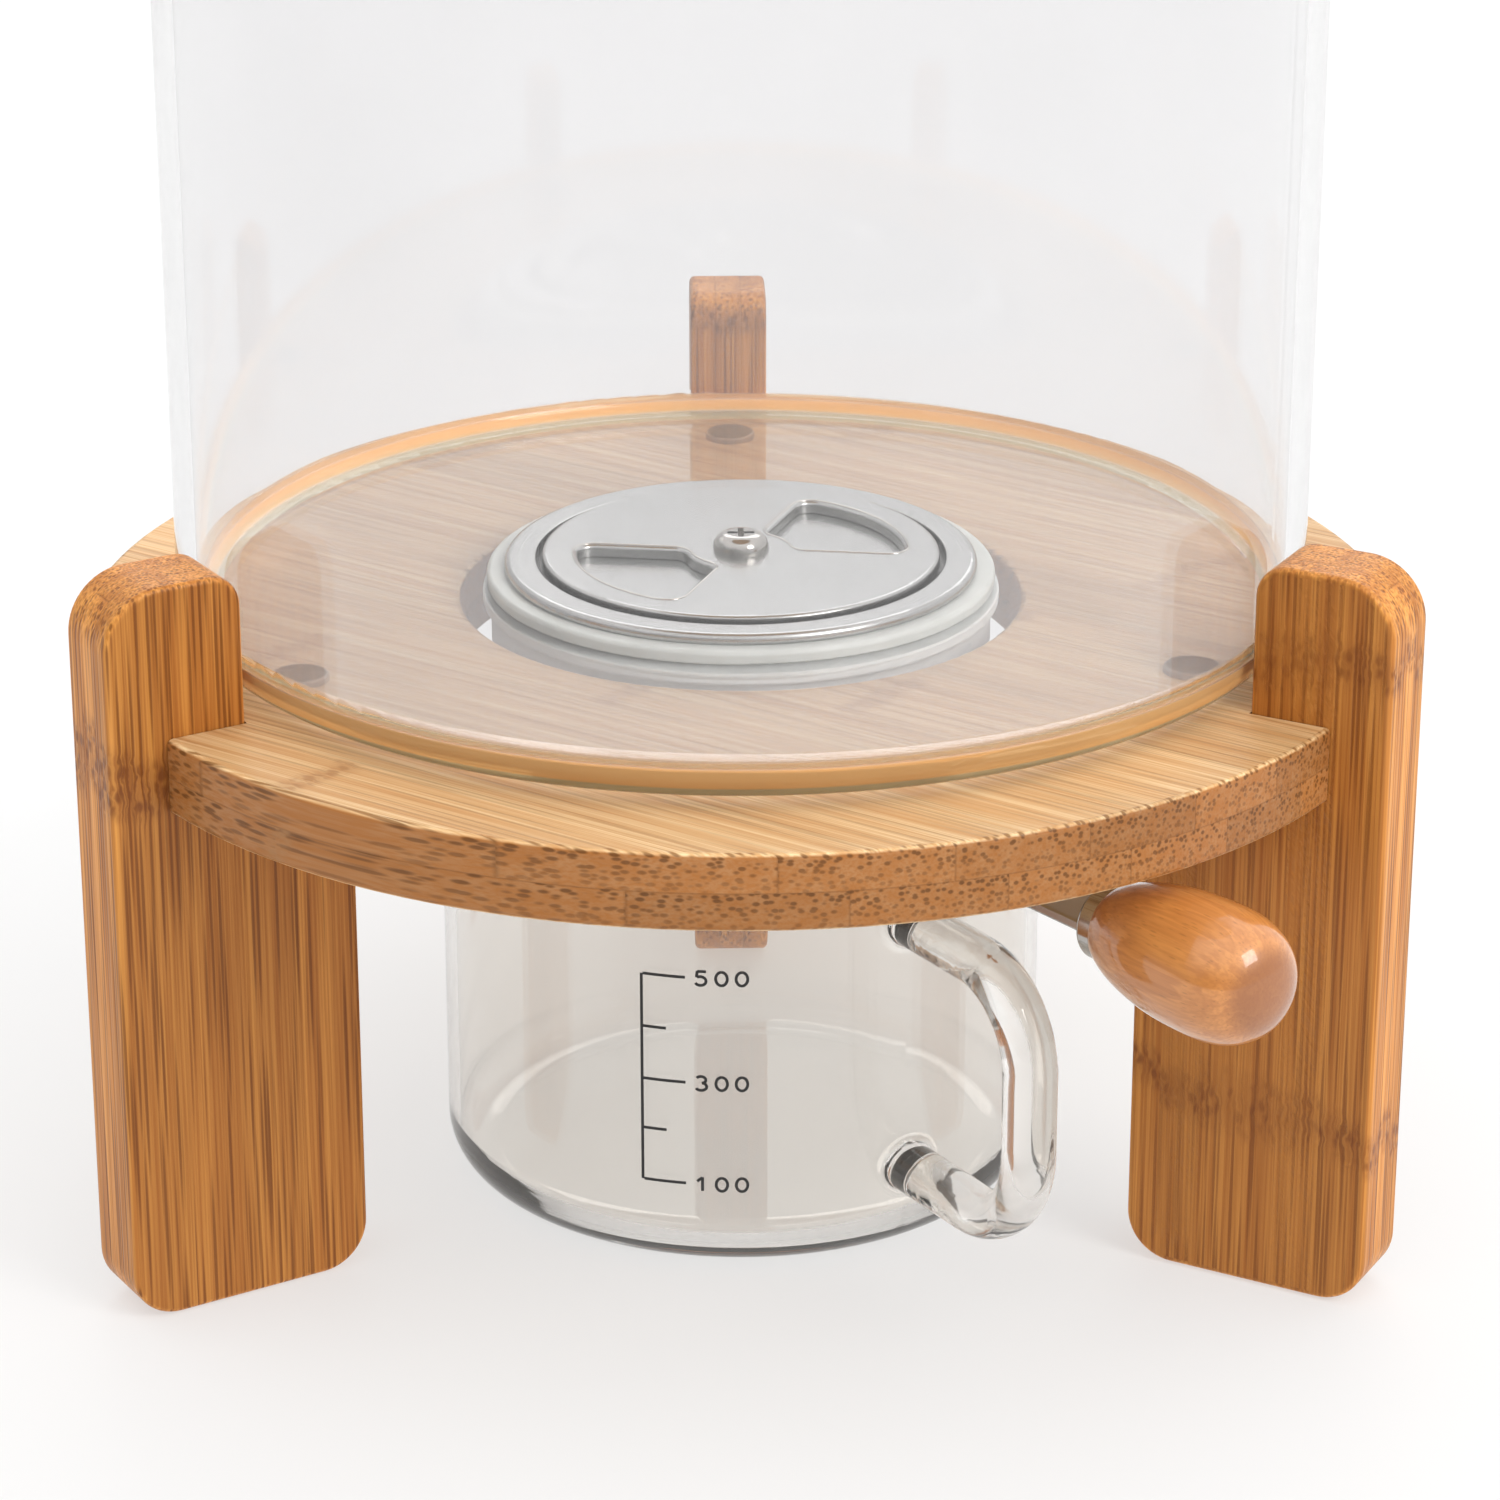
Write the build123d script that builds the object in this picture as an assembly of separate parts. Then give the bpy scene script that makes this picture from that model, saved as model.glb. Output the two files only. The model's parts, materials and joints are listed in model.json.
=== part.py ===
from build123d import *
import math
import os

os.makedirs("parts", exist_ok=True)

# Dry food dispenser: a glass cylinder with a rotary shutter valve in its floor, on a round bamboo
# board with three plank legs, and a measuring cup under the outlet.
# Millimetres and degrees. +Z is up, Z = 0 is the table, and the vessel's axis is the Z axis.
# Azimuths are measured from +X towards +Y. The front is -Y.

OVERCUT = 1.0
SAME_PLACE = 0.01
SMALL_ROUNDING = 0.5

# ---- Stand ----
STAND_HEIGHT = 140.0
BOARD_TOP_Z = 112.0
BOARD_THICKNESS = 14.0
BOARD_RADIUS = 122.5
BOARD_HOLE_RADIUS = 52.5
BOARD_EDGE_RADIUS = 1.0
BOARD_BOTTOM_Z = BOARD_TOP_Z - BOARD_THICKNESS

LEG_AZIMUTHS = {"leg_rear": 90.0, "leg_left": 210.0, "leg_right": 330.0}
LEG_THICKNESS = 16.0
LEG_OUTER_R = 133.2
LEG_UPPER_INNER_R = 106.8
LEG_LOWER_INNER_R = 86.0
LEG_TOP_OUTER_CORNER = 11.0
LEG_TOP_INNER_CORNER = 6.0
LEG_FOOT_CORNER = 9.0
LEG_EDGE_RADIUS = 1.2
SLOT_CLEARANCE = 0.4

# ---- Screws and pads between board and legs ----
PAD_CIRCLE_R = 91.0
PAD_RADIUS = 5.0
PAD_PROUD = 1.2
COUNTERBORE_DEPTH = 5.5
WOOD_SCREW_HEAD_RADIUS = 4.2
WOOD_SCREW_HEAD_HEIGHT = 2.6
WOOD_SCREW_RADIUS = 2.0
WOOD_SCREW_LENGTH = 30.0
WOOD_SCREW_TIP = 2.5
WOOD_SCREW_RECESS_WIDTH = 1.0
FASTENER_CLEARANCE = 0.05

# ---- Glass cylinder ----
GLASS_RADIUS = 105.0
GLASS_WALL = 3.8
GLASS_FLOOR = 4.3
GLASS_HEIGHT = 260.0
GLASS_FOOT_CORNER = 6.5
GLASS_INNER_CORNER = 4.5
GLASS_RIM_ROUNDING = 1.7
GLASS_HOLE_RADIUS = 38.5
GLASS_BOTTOM_Z = BOARD_TOP_Z + PAD_PROUD
GLASS_FLOOR_Z = GLASS_BOTTOM_Z + GLASS_FLOOR
GLASS_TOP_Z = GLASS_BOTTOM_Z + GLASS_HEIGHT

# ---- Valve, fixed part ----
GASKET_RADIUS = 47.5
LOWER_GASKET_RADIUS = GASKET_RADIUS + 0.8
GASKET_THICKNESS = 2.5
GASKET_SEAT_ROUNDING = 0.4
GASKET_RIM_ROUNDING = 0.9
FLANGE_RADIUS = 44.2
FLANGE_THICKNESS = 2.0
FLANGE_ROLL = 1.2
SEAT_THICKNESS = 2.0
SEAT_RECESS = 1.5
RECESS_RADIUS = 38.2
TUBE_RADIUS = 37.4
TUBE_WALL = 2.9
SKIRT_BOTTOM_Z = 79.5
THREAD_TOP_GAP = 1.0
THREAD_PITCH = 2.0
THREAD_RINGS = 8
THREAD_DEPTH = 0.5
SKIRT_ROUNDING = 0.8
TUBE_ROOT_BLEND = 2.0
HUB_ROOT_BLEND = 1.5
HUB_RADIUS = 8.5
HUB_LENGTH = 12.5
BUSH_RADIUS = 6.0
BUSH_FLANGE_RADIUS = 8.0
BUSH_FLANGE = 1.5
BUSH_SINK = 0.3
NUT_RADIUS = 46.8
NUT_HEIGHT = 8.0
NUT_GRIPS = 12
NUT_GRIP_RADIUS = 3.0
NUT_GRIP_CIRCLE_R = NUT_RADIUS + 1.2
NUT_GRIP_HEIGHT = NUT_HEIGHT - 2.0
NUT_CHAMFER = 1.0
FLANGE_BOTTOM_Z = GLASS_FLOOR_Z + GASKET_THICKNESS
FLANGE_TOP_Z = FLANGE_BOTTOM_Z + FLANGE_THICKNESS
SEAT_Z = FLANGE_TOP_Z - SEAT_RECESS
HUB_BOTTOM_Z = SEAT_Z - HUB_LENGTH

# ---- Fan openings, the same outline in rotor and seat ----
FAN_INNER_R = 10.3
FAN_OUTER_R = 30.5
FAN_SIDE_SHIFT = 1.3
FAN_CORNER = 3.0
ROTOR_FAN_HALF_ANGLE = 38.5
SEAT_FAN_HALF_ANGLE = 36.0

# ---- Valve, turning part; it is drawn closed ----
LEVER_CLOSED_AZIMUTH = -53.0
LEVER_TRAVEL = 80.0
ROTOR_FAN_AZIMUTH = 30.0
ROTOR_RADIUS = 37.2
ROTOR_HEIGHT = 2.3
ROTOR_SHEET = 1.0
ROTOR_ROLL = 0.9
ROTOR_BOSS_RADIUS = 7.5
ROTOR_GAP = 0.1
SHAFT_RADIUS = 4.0
SHAFT_RUNNING_GAP = 0.05
DRIVE_SQUARE = 5.0
DRIVE_SHORTFALL = 0.2
SCREW_HEAD_RADIUS = 5.2
SCREW_HEAD_HEIGHT = 3.2
SCREW_RADIUS = 1.5
SCREW_DEPTH = 12.0
SCREW_HEAD_ROUNDING = 0.85 * SCREW_HEAD_HEIGHT
SCREW_RECESS_DEPTH = 1.6
SCREW_RECESS_WIDTH = 1.1
SCREW_RECESS_LENGTH = 5.0
WASHER_THICKNESS = 0.8
SPRING_RADIUS = 6.0
SPRING_WIRE_RADIUS = 0.6
SPRING_TURNS = 6

LEVER_Z = 82.0
LEVER_SHEET = 2.0
LEVER_WIDTH = 12.0
LEVER_EYE_RADIUS = 9.0
LEVER_SLOT_GAP = 0.5
LEVER_WASHER_RADIUS = SCREW_HEAD_RADIUS + 0.8
FERRULE_RADIUS = 7.2
FERRULE_LENGTH = 3.5
FERRULE_SLOT_DEPTH = 2.0
FERRULE_ROUNDING = 0.8
STUD_RADIUS = 2.5
STUD_LENGTH = 24.0
STUD_CHAMFER = 0.4
KNOB_START_R = 106.0
KNOB_LENGTH = 38.5
KNOB_END_RADIUS = 7.4
KNOB_FOOT_ROUNDING = 0.8
KNOB_NECK_RADIUS = 10.6
KNOB_RADIUS = 12.2
KNOB_NECK = 0.22
KNOB_FULLEST = 0.64

# ---- Lid ----
LID_RADIUS = 108.0
LID_THICKNESS = 16.0
LID_EDGE_RADIUS = 2.0
PLUG_RADIUS = 96.0
PLUG_THICKNESS = 14.0
PLUG_ROUNDING = 1.0
SEAL_RADIUS = 100.8
SEAL_GROOVE_DEPTH = 3.0
SEAL_HEIGHT = 7.0
SEAL_BAND = 1.5
SEAL_LIP = 1.4
SEAL_LIP_INSET = 0.6
SEAL_LIP_TAPER = 0.3
LID_KNOB_RADIUS = 16.0
LID_KNOB_FOOT_RADIUS = 10.0
LID_KNOB_NECK_RADIUS = 7.5
LID_KNOB_HEIGHT = 30.0
LID_KNOB_WAIST = 0.28
LID_KNOB_FLATNESS = 0.72
LID_SCREW_LENGTH = 48.0

# ---- Measuring cup ----
CUP_RADIUS = 57.0
CUP_WALL = 2.2
CUP_BASE = 3.5
CUP_HEIGHT = 74.0
CUP_FOOT_CORNER = 9.0
CUP_INNER_CORNER = 7.5
CUP_RIM_ROUNDING = 1.0
HANDLE_AZIMUTH = -58.5
HANDLE_CENTRE_R = 94.5
HANDLE_TOP_Z = 67.5
HANDLE_BOTTOM_Z = 18.0
HANDLE_BEND = 17.0
HANDLE_WIDTH = 10.5
HANDLE_DEPTH = 9.0
HANDLE_ROOT_BLEND = 2.0
HANDLE_ROOT_GAP = 0.2


def save(node, shape):
    """Writes one node's solids to its own STEP file."""
    export_step(shape, f"parts/{node}.step")


def turned(profile_points, corner_radii=None):
    """Revolves a closed (radius, z) outline about Z. corner_radii maps a point's number to its fillet."""
    outline = Polyline(*profile_points, close=True)
    profile = Plane.XZ * make_face(outline)
    for index, radius in (corner_radii or {}).items():
        corner_r, corner_z = profile_points[index]
        corner = profile.vertices().sort_by_distance((corner_r, 0, corner_z))[0]
        profile = fillet(corner, radius)
    return revolve(profile, Axis.Z)


def disc(radius, bottom_z, height, hole_radius=0.0):
    """A round plate about Z, with an optional centre hole."""
    plate = Pos(0, 0, bottom_z) * extrude(Circle(radius), height)
    if hole_radius:
        plate -= Pos(0, 0, bottom_z) * extrude(Circle(hole_radius), height)
    return plate


def square_bar(side, bottom_z, height):
    """A square drive about Z."""
    return Pos(0, 0, bottom_z) * extrude(Rectangle(side, side), height)


def fan_sketch(half_angle, grow=0.0):
    """One rounded fan opening that points along +X. Its straight sides run beside two radii."""
    outer_r = FAN_OUTER_R + grow
    inner_r = FAN_INNER_R - grow
    reach = 2 * outer_r
    shift = (FAN_SIDE_SHIFT - grow) / math.sin(math.radians(half_angle))
    tip_y = reach * math.tan(math.radians(half_angle))
    wedge = make_face(Polyline((shift, 0), (shift + reach, -tip_y), (shift + reach, tip_y), close=True))
    band = Circle(outer_r) - Circle(inner_r)
    fan = wedge & band
    return fillet(fan.vertices(), FAN_CORNER + grow)


def fan_pair(half_angle, azimuth, grow=0.0):
    """Two opposite fan openings."""
    fan = fan_sketch(half_angle, grow)
    return Rot(0, 0, azimuth) * fan + Rot(0, 0, azimuth + 180) * fan


def cross_recess(width, length, depth, top_z):
    """The cutter for a cross-head screw's recess."""
    bar = Box(length, width, depth, align=(Align.CENTER, Align.CENTER, Align.MAX))
    return Pos(0, 0, top_z) * (bar + Rot(0, 0, 90) * bar)


def pan_screw(seat_z, up):
    """A pan-head screw on the Z axis. Its head stands above seat_z if up is 1, below it if up is -1."""
    head_points = [
        (0, 0),
        (SCREW_HEAD_RADIUS, 0),
        (SCREW_HEAD_RADIUS, SCREW_HEAD_HEIGHT),
        (0, SCREW_HEAD_HEIGHT),
    ]
    head = turned(head_points, {2: SCREW_HEAD_ROUNDING})
    head -= cross_recess(SCREW_RECESS_WIDTH, SCREW_RECESS_LENGTH, SCREW_RECESS_DEPTH, SCREW_HEAD_HEIGHT)
    shank = disc(SCREW_RADIUS, -SCREW_DEPTH, SCREW_DEPTH)
    screw = head + shank
    if up < 0:
        screw = Rot(180, 0, 0) * screw
    return Pos(0, 0, seat_z) * screw


def wood_screw(head_radius, head_height, radius, length):
    """A countersunk wood screw along Z with its flat head at Z = 0 and its tip down."""
    tip = WOOD_SCREW_TIP * radius
    points = [
        (0, 0),
        (head_radius, 0),
        (radius, -head_height),
        (radius, tip - length),
        (0, -length),
    ]
    recess = cross_recess(WOOD_SCREW_RECESS_WIDTH, 0.9 * head_radius, 0.5 * head_height, 0)
    return turned(points) - recess


def stand_board():
    """Round board with a centre hole, a slot for each leg and a stepped hole for each screw."""
    board = disc(BOARD_RADIUS, BOARD_BOTTOM_Z, BOARD_THICKNESS, BOARD_HOLE_RADIUS)
    board = fillet(board.edges().filter_by(GeomType.CIRCLE), BOARD_EDGE_RADIUS)
    slot_length = LEG_OUTER_R - LEG_UPPER_INNER_R + OVERCUT
    slot = Box(
        slot_length,
        LEG_THICKNESS + SLOT_CLEARANCE,
        BOARD_THICKNESS,
        align=(Align.MIN, Align.CENTER, Align.MIN),
    )
    bore_z = BOARD_TOP_Z - COUNTERBORE_DEPTH
    screw_hole = disc(WOOD_SCREW_RADIUS + FASTENER_CLEARANCE, BOARD_BOTTOM_Z, BOARD_THICKNESS)
    screw_hole += disc(PAD_RADIUS + FASTENER_CLEARANCE, bore_z, COUNTERBORE_DEPTH)
    sink_z = bore_z - WOOD_SCREW_HEAD_HEIGHT
    sink_points = [
        (0, bore_z),
        (WOOD_SCREW_HEAD_RADIUS + FASTENER_CLEARANCE, bore_z),
        (WOOD_SCREW_RADIUS + FASTENER_CLEARANCE, sink_z),
        (0, sink_z),
    ]
    screw_hole += turned(sink_points)
    for azimuth in LEG_AZIMUTHS.values():
        board -= Rot(0, 0, azimuth) * Pos(LEG_UPPER_INNER_R, 0, BOARD_BOTTOM_Z) * slot
        board -= Rot(0, 0, azimuth) * Pos(PAD_CIRCLE_R, 0, 0) * screw_hole
    return board


def leg(azimuth):
    """A plank on edge: narrow above the shoulder that carries the board, wide below it."""
    points = [
        (LEG_LOWER_INNER_R, 0),
        (LEG_OUTER_R, 0),
        (LEG_OUTER_R, STAND_HEIGHT),
        (LEG_UPPER_INNER_R, STAND_HEIGHT),
        (LEG_UPPER_INNER_R, BOARD_BOTTOM_Z),
        (LEG_LOWER_INNER_R, BOARD_BOTTOM_Z),
    ]
    corners = {0: LEG_FOOT_CORNER, 1: LEG_FOOT_CORNER, 2: LEG_TOP_OUTER_CORNER, 3: LEG_TOP_INNER_CORNER}
    outline = Plane.XZ * make_face(Polyline(*points, close=True))
    for index, radius in corners.items():
        corner_r, corner_z = points[index]
        corner = outline.vertices().sort_by_distance((corner_r, 0, corner_z))[0]
        outline = fillet(corner, radius)
    plank = extrude(outline, LEG_THICKNESS / 2, both=True)
    side_edges = [
        edge
        for edge in plank.edges()
        if abs(abs(edge.center().Y) - LEG_THICKNESS / 2) < SAME_PLACE
        and abs(edge.center().Z - BOARD_BOTTOM_Z) > SAME_PLACE
    ]
    plank = fillet(side_edges, LEG_EDGE_RADIUS)
    screw_depth = WOOD_SCREW_LENGTH - (BOARD_THICKNESS - COUNTERBORE_DEPTH)
    hole_depth = screw_depth + OVERCUT
    hole = disc(WOOD_SCREW_RADIUS + FASTENER_CLEARANCE, BOARD_BOTTOM_Z - hole_depth, hole_depth)
    plank -= Pos(PAD_CIRCLE_R, 0, 0) * hole
    return Rot(0, 0, azimuth) * plank


def leg_screws():
    """One wood screw down through the board into each leg's shoulder."""
    screw = wood_screw(WOOD_SCREW_HEAD_RADIUS, WOOD_SCREW_HEAD_HEIGHT, WOOD_SCREW_RADIUS, WOOD_SCREW_LENGTH)
    head_z = BOARD_TOP_Z - COUNTERBORE_DEPTH
    return Compound([Rot(0, 0, a) * Pos(PAD_CIRCLE_R, 0, head_z) * screw for a in LEG_AZIMUTHS.values()])


def glass_pads():
    """Pads that fill the counterbores over the screws and carry the glass."""
    bottom_z = BOARD_TOP_Z - COUNTERBORE_DEPTH
    pad = disc(PAD_RADIUS, bottom_z, COUNTERBORE_DEPTH + PAD_PROUD)
    pad = fillet(pad.edges().group_by(Axis.Z)[-1], SMALL_ROUNDING)
    return Compound([Rot(0, 0, a) * Pos(PAD_CIRCLE_R, 0, 0) * pad for a in LEG_AZIMUTHS.values()])


def glass_cylinder():
    """Straight glass cylinder with a flat floor, a rounded foot and a hole for the valve."""
    inner_r = GLASS_RADIUS - GLASS_WALL
    points = [
        (GLASS_HOLE_RADIUS, GLASS_BOTTOM_Z),
        (GLASS_RADIUS, GLASS_BOTTOM_Z),
        (GLASS_RADIUS, GLASS_TOP_Z),
        (inner_r, GLASS_TOP_Z),
        (inner_r, GLASS_FLOOR_Z),
        (GLASS_HOLE_RADIUS, GLASS_FLOOR_Z),
    ]
    corners = {
        0: SMALL_ROUNDING,
        1: GLASS_FOOT_CORNER,
        2: GLASS_RIM_ROUNDING,
        3: GLASS_RIM_ROUNDING,
        4: GLASS_INNER_CORNER,
        5: SMALL_ROUNDING,
    }
    return turned(points, corners)


def valve_body():
    """Flange, recessed seat with two fans, threaded outlet tube, and a skirt with the lever's slot."""
    tube_inner_r = TUBE_RADIUS - TUBE_WALL
    seat_bottom_z = SEAT_Z - SEAT_THICKNESS
    points = [
        (BUSH_RADIUS, HUB_BOTTOM_Z),
        (HUB_RADIUS, HUB_BOTTOM_Z),
        (HUB_RADIUS, seat_bottom_z),
        (tube_inner_r, seat_bottom_z),
        (tube_inner_r, SKIRT_BOTTOM_Z),
        (TUBE_RADIUS, SKIRT_BOTTOM_Z),
        (TUBE_RADIUS, FLANGE_BOTTOM_Z),
        (FLANGE_RADIUS, FLANGE_BOTTOM_Z),
        (FLANGE_RADIUS, FLANGE_TOP_Z),
        (RECESS_RADIUS, FLANGE_TOP_Z),
        (RECESS_RADIUS, SEAT_Z),
        (BUSH_RADIUS, SEAT_Z),
    ]
    corners = {
        2: HUB_ROOT_BLEND,
        3: TUBE_ROOT_BLEND,
        5: SKIRT_ROUNDING,
        7: SMALL_ROUNDING,
        8: FLANGE_ROLL,
        9: SMALL_ROUNDING,
    }
    body = turned(points, corners)
    fans = fan_pair(SEAT_FAN_HALF_ANGLE, ROTOR_FAN_AZIMUTH - LEVER_TRAVEL)
    body -= Pos(0, 0, seat_bottom_z - OVERCUT) * extrude(fans, SEAT_THICKNESS + 2 * OVERCUT)
    thread_top_z = GLASS_BOTTOM_Z - THREAD_TOP_GAP
    for ring in range(THREAD_RINGS):
        groove_z = thread_top_z - THREAD_PITCH * (ring + 0.5)
        groove = [
            (TUBE_RADIUS + OVERCUT, groove_z - THREAD_PITCH / 2),
            (TUBE_RADIUS + OVERCUT, groove_z + THREAD_PITCH / 2),
            (TUBE_RADIUS - THREAD_DEPTH, groove_z),
        ]
        body -= turned(groove)
    return body - lever_slot()


def lever_slot():
    """The cutter for the gap in the skirt. Its ends are the lever's stops."""
    half_width = LEVER_WIDTH / 2 + LEVER_SLOT_GAP
    half_width_angle = math.degrees(math.asin(half_width / (TUBE_RADIUS - TUBE_WALL)))
    start = LEVER_CLOSED_AZIMUTH - LEVER_TRAVEL - half_width_angle
    sweep_angle = LEVER_TRAVEL + 2 * half_width_angle
    reach = 2 * TUBE_RADIUS
    angles = [math.radians(start + sweep_angle * step / 4) for step in range(5)]
    corners = [(reach * math.cos(angle), reach * math.sin(angle)) for angle in angles]
    wedge = make_face(Polyline((0, 0), *corners, close=True))
    height = LEVER_Z + LEVER_SHEET / 2 + LEVER_SLOT_GAP - SKIRT_BOTTOM_Z
    return Pos(0, 0, SKIRT_BOTTOM_Z - OVERCUT) * extrude(wedge, height + OVERCUT)


def gasket_upper():
    """Silicone ring between the flange and the glass floor, with a rounded rim."""
    points = [
        (TUBE_RADIUS + FASTENER_CLEARANCE, GLASS_FLOOR_Z),
        (GASKET_RADIUS, GLASS_FLOOR_Z),
        (GASKET_RADIUS, FLANGE_BOTTOM_Z),
        (TUBE_RADIUS + FASTENER_CLEARANCE, FLANGE_BOTTOM_Z),
    ]
    return turned(points, {1: GASKET_SEAT_ROUNDING, 2: GASKET_RIM_ROUNDING})


def gasket_lower():
    """Silicone ring under the glass floor."""
    bottom_z = GLASS_BOTTOM_Z - GASKET_THICKNESS
    points = [
        (TUBE_RADIUS + FASTENER_CLEARANCE, bottom_z),
        (LOWER_GASKET_RADIUS, bottom_z),
        (LOWER_GASKET_RADIUS, GLASS_BOTTOM_Z),
        (TUBE_RADIUS + FASTENER_CLEARANCE, GLASS_BOTTOM_Z),
    ]
    return turned(points, {1: GASKET_RIM_ROUNDING, 2: GASKET_SEAT_ROUNDING})


def lock_nut():
    """Ring nut with finger grips that clamps the valve to the glass floor."""
    bottom_z = GLASS_BOTTOM_Z - GASKET_THICKNESS - NUT_HEIGHT
    nut = disc(NUT_RADIUS, bottom_z, NUT_HEIGHT, TUBE_RADIUS + FASTENER_CLEARANCE)
    nut = chamfer(nut.edges().group_by(Axis.Z)[0].sort_by(SortBy.RADIUS)[-1], NUT_CHAMFER)
    for grip in range(NUT_GRIPS):
        angle = 360 / NUT_GRIPS * grip
        scallop = Pos(NUT_GRIP_CIRCLE_R, 0, 0) * disc(NUT_GRIP_RADIUS, bottom_z, NUT_GRIP_HEIGHT)
        nut -= Rot(0, 0, angle) * scallop
    return nut


def shaft_bushing():
    """Flanged bush pushed up into the seat plate's hub."""
    flange_z = HUB_BOTTOM_Z - BUSH_FLANGE
    bore = SHAFT_RADIUS + SHAFT_RUNNING_GAP
    points = [
        (bore, flange_z),
        (BUSH_FLANGE_RADIUS, flange_z),
        (BUSH_FLANGE_RADIUS, HUB_BOTTOM_Z),
        (BUSH_RADIUS - FASTENER_CLEARANCE, HUB_BOTTOM_Z),
        (BUSH_RADIUS - FASTENER_CLEARANCE, SEAT_Z - BUSH_SINK),
        (bore, SEAT_Z - BUSH_SINK),
    ]
    return turned(points)


def valve_rotor():
    """Pressed shutter disc: flat top, rolled rim, and two fans whose edges are rolled down."""
    bottom_z = SEAT_Z + ROTOR_GAP
    plate = disc(ROTOR_RADIUS, 0, ROTOR_HEIGHT)
    plate -= extrude(fan_pair(ROTOR_FAN_HALF_ANGLE, ROTOR_FAN_AZIMUTH), ROTOR_HEIGHT)
    plate = fillet(plate.edges().group_by(Axis.Z)[-1], ROTOR_ROLL)
    hollow = Circle(ROTOR_RADIUS - ROTOR_SHEET) - Circle(ROTOR_BOSS_RADIUS)
    hollow -= fan_pair(ROTOR_FAN_HALF_ANGLE, ROTOR_FAN_AZIMUTH, grow=ROTOR_SHEET)
    plate -= extrude(hollow, ROTOR_HEIGHT - ROTOR_SHEET)
    plate -= square_bar(DRIVE_SQUARE + 2 * FASTENER_CLEARANCE, 0, ROTOR_HEIGHT)
    return Pos(0, 0, bottom_z) * plate


def valve_shaft():
    """Round shaft with a square drive and a screw hole at both ends."""
    rotor_z = SEAT_Z + ROTOR_GAP
    lever_top_z = LEVER_Z + LEVER_SHEET / 2
    square_height = min(ROTOR_HEIGHT, LEVER_SHEET) - DRIVE_SHORTFALL
    shaft = disc(SHAFT_RADIUS, lever_top_z, rotor_z - lever_top_z)
    shaft += square_bar(DRIVE_SQUARE, rotor_z, square_height)
    lever_square = square_bar(DRIVE_SQUARE, lever_top_z - square_height, square_height)
    shaft += Rot(0, 0, LEVER_CLOSED_AZIMUTH) * lever_square
    hole = SCREW_RADIUS + FASTENER_CLEARANCE
    shaft -= disc(hole, rotor_z - SCREW_DEPTH, SCREW_DEPTH + square_height)
    shaft -= disc(hole, lever_top_z - square_height, SCREW_DEPTH + square_height)
    return shaft


def thrust_washer():
    """Washer that turns with the spring against the bush's flange."""
    top_z = HUB_BOTTOM_Z - BUSH_FLANGE - ROTOR_GAP
    bottom_z = top_z - WASHER_THICKNESS
    return disc(BUSH_FLANGE_RADIUS, bottom_z, WASHER_THICKNESS, SHAFT_RADIUS + FASTENER_CLEARANCE)


def seat_spring():
    """Coil spring between the lever's eye and the thrust washer. It pulls the rotor onto its seat."""
    gap = SPRING_WIRE_RADIUS + FASTENER_CLEARANCE
    bottom_z = LEVER_Z + LEVER_SHEET / 2 + gap
    top_z = HUB_BOTTOM_Z - BUSH_FLANGE - ROTOR_GAP - WASHER_THICKNESS - gap
    height = top_z - bottom_z
    path = Helix(pitch=height / SPRING_TURNS, height=height, radius=SPRING_RADIUS)
    section = Plane(origin=path @ 0, z_dir=path % 0) * Circle(SPRING_WIRE_RADIUS)
    return Pos(0, 0, bottom_z) * sweep(section, path=path, is_frenet=True)


def on_lever(shape):
    """Moves a shape drawn along +X, at the lever's height, to the lever's closed azimuth."""
    return Rot(0, 0, LEVER_CLOSED_AZIMUTH) * Pos(0, 0, LEVER_Z) * shape


def along_lever(shape):
    """Turns a shape drawn about Z to lie about the lever's line, then puts it at the lever's place."""
    return on_lever(Rot(0, 90, 0) * shape)


def lever_arm():
    """Flat steel strip with a round eye on the shaft. Its far end enters the ferrule."""
    end_r = KNOB_START_R - FERRULE_LENGTH + FERRULE_SLOT_DEPTH
    strip = Box(end_r, LEVER_WIDTH, LEVER_SHEET, align=(Align.MIN, Align.CENTER, Align.CENTER))
    long_edges = strip.edges().filter_by(Axis.X)
    strip = fillet(long_edges, SMALL_ROUNDING)
    arm = strip + disc(LEVER_EYE_RADIUS, -LEVER_SHEET / 2, LEVER_SHEET)
    arm -= square_bar(DRIVE_SQUARE + 2 * FASTENER_CLEARANCE, -LEVER_SHEET / 2, LEVER_SHEET)
    return on_lever(arm)


def lever_washer():
    """Washer under the lever's eye."""
    top_z = LEVER_Z - LEVER_SHEET / 2
    bottom_z = top_z - WASHER_THICKNESS
    return disc(LEVER_WASHER_RADIUS, bottom_z, WASHER_THICKNESS, SCREW_RADIUS + FASTENER_CLEARANCE)


def knob_ferrule():
    """Turned steel collar: slotted for the strip on one side, bored for the stud on the other."""
    points = [
        (0, 0),
        (FERRULE_RADIUS, 0),
        (FERRULE_RADIUS, FERRULE_LENGTH),
        (0, FERRULE_LENGTH),
    ]
    collar = turned(points, {1: FERRULE_ROUNDING})
    slot = Box(
        LEVER_SHEET + 2 * FASTENER_CLEARANCE,
        LEVER_WIDTH + 2 * FASTENER_CLEARANCE,
        FERRULE_SLOT_DEPTH,
        align=(Align.CENTER, Align.CENTER, Align.MIN),
    )
    collar -= slot
    collar -= disc(STUD_RADIUS + FASTENER_CLEARANCE, FERRULE_SLOT_DEPTH, FERRULE_LENGTH)
    return along_lever(Pos(0, 0, KNOB_START_R - FERRULE_LENGTH) * collar)


def knob_stud():
    """Stud from the ferrule into the knob."""
    start_r = KNOB_START_R - FERRULE_LENGTH + FERRULE_SLOT_DEPTH
    stud = disc(STUD_RADIUS, start_r, STUD_LENGTH)
    return along_lever(chamfer(stud.edges(), STUD_CHAMFER))


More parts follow.
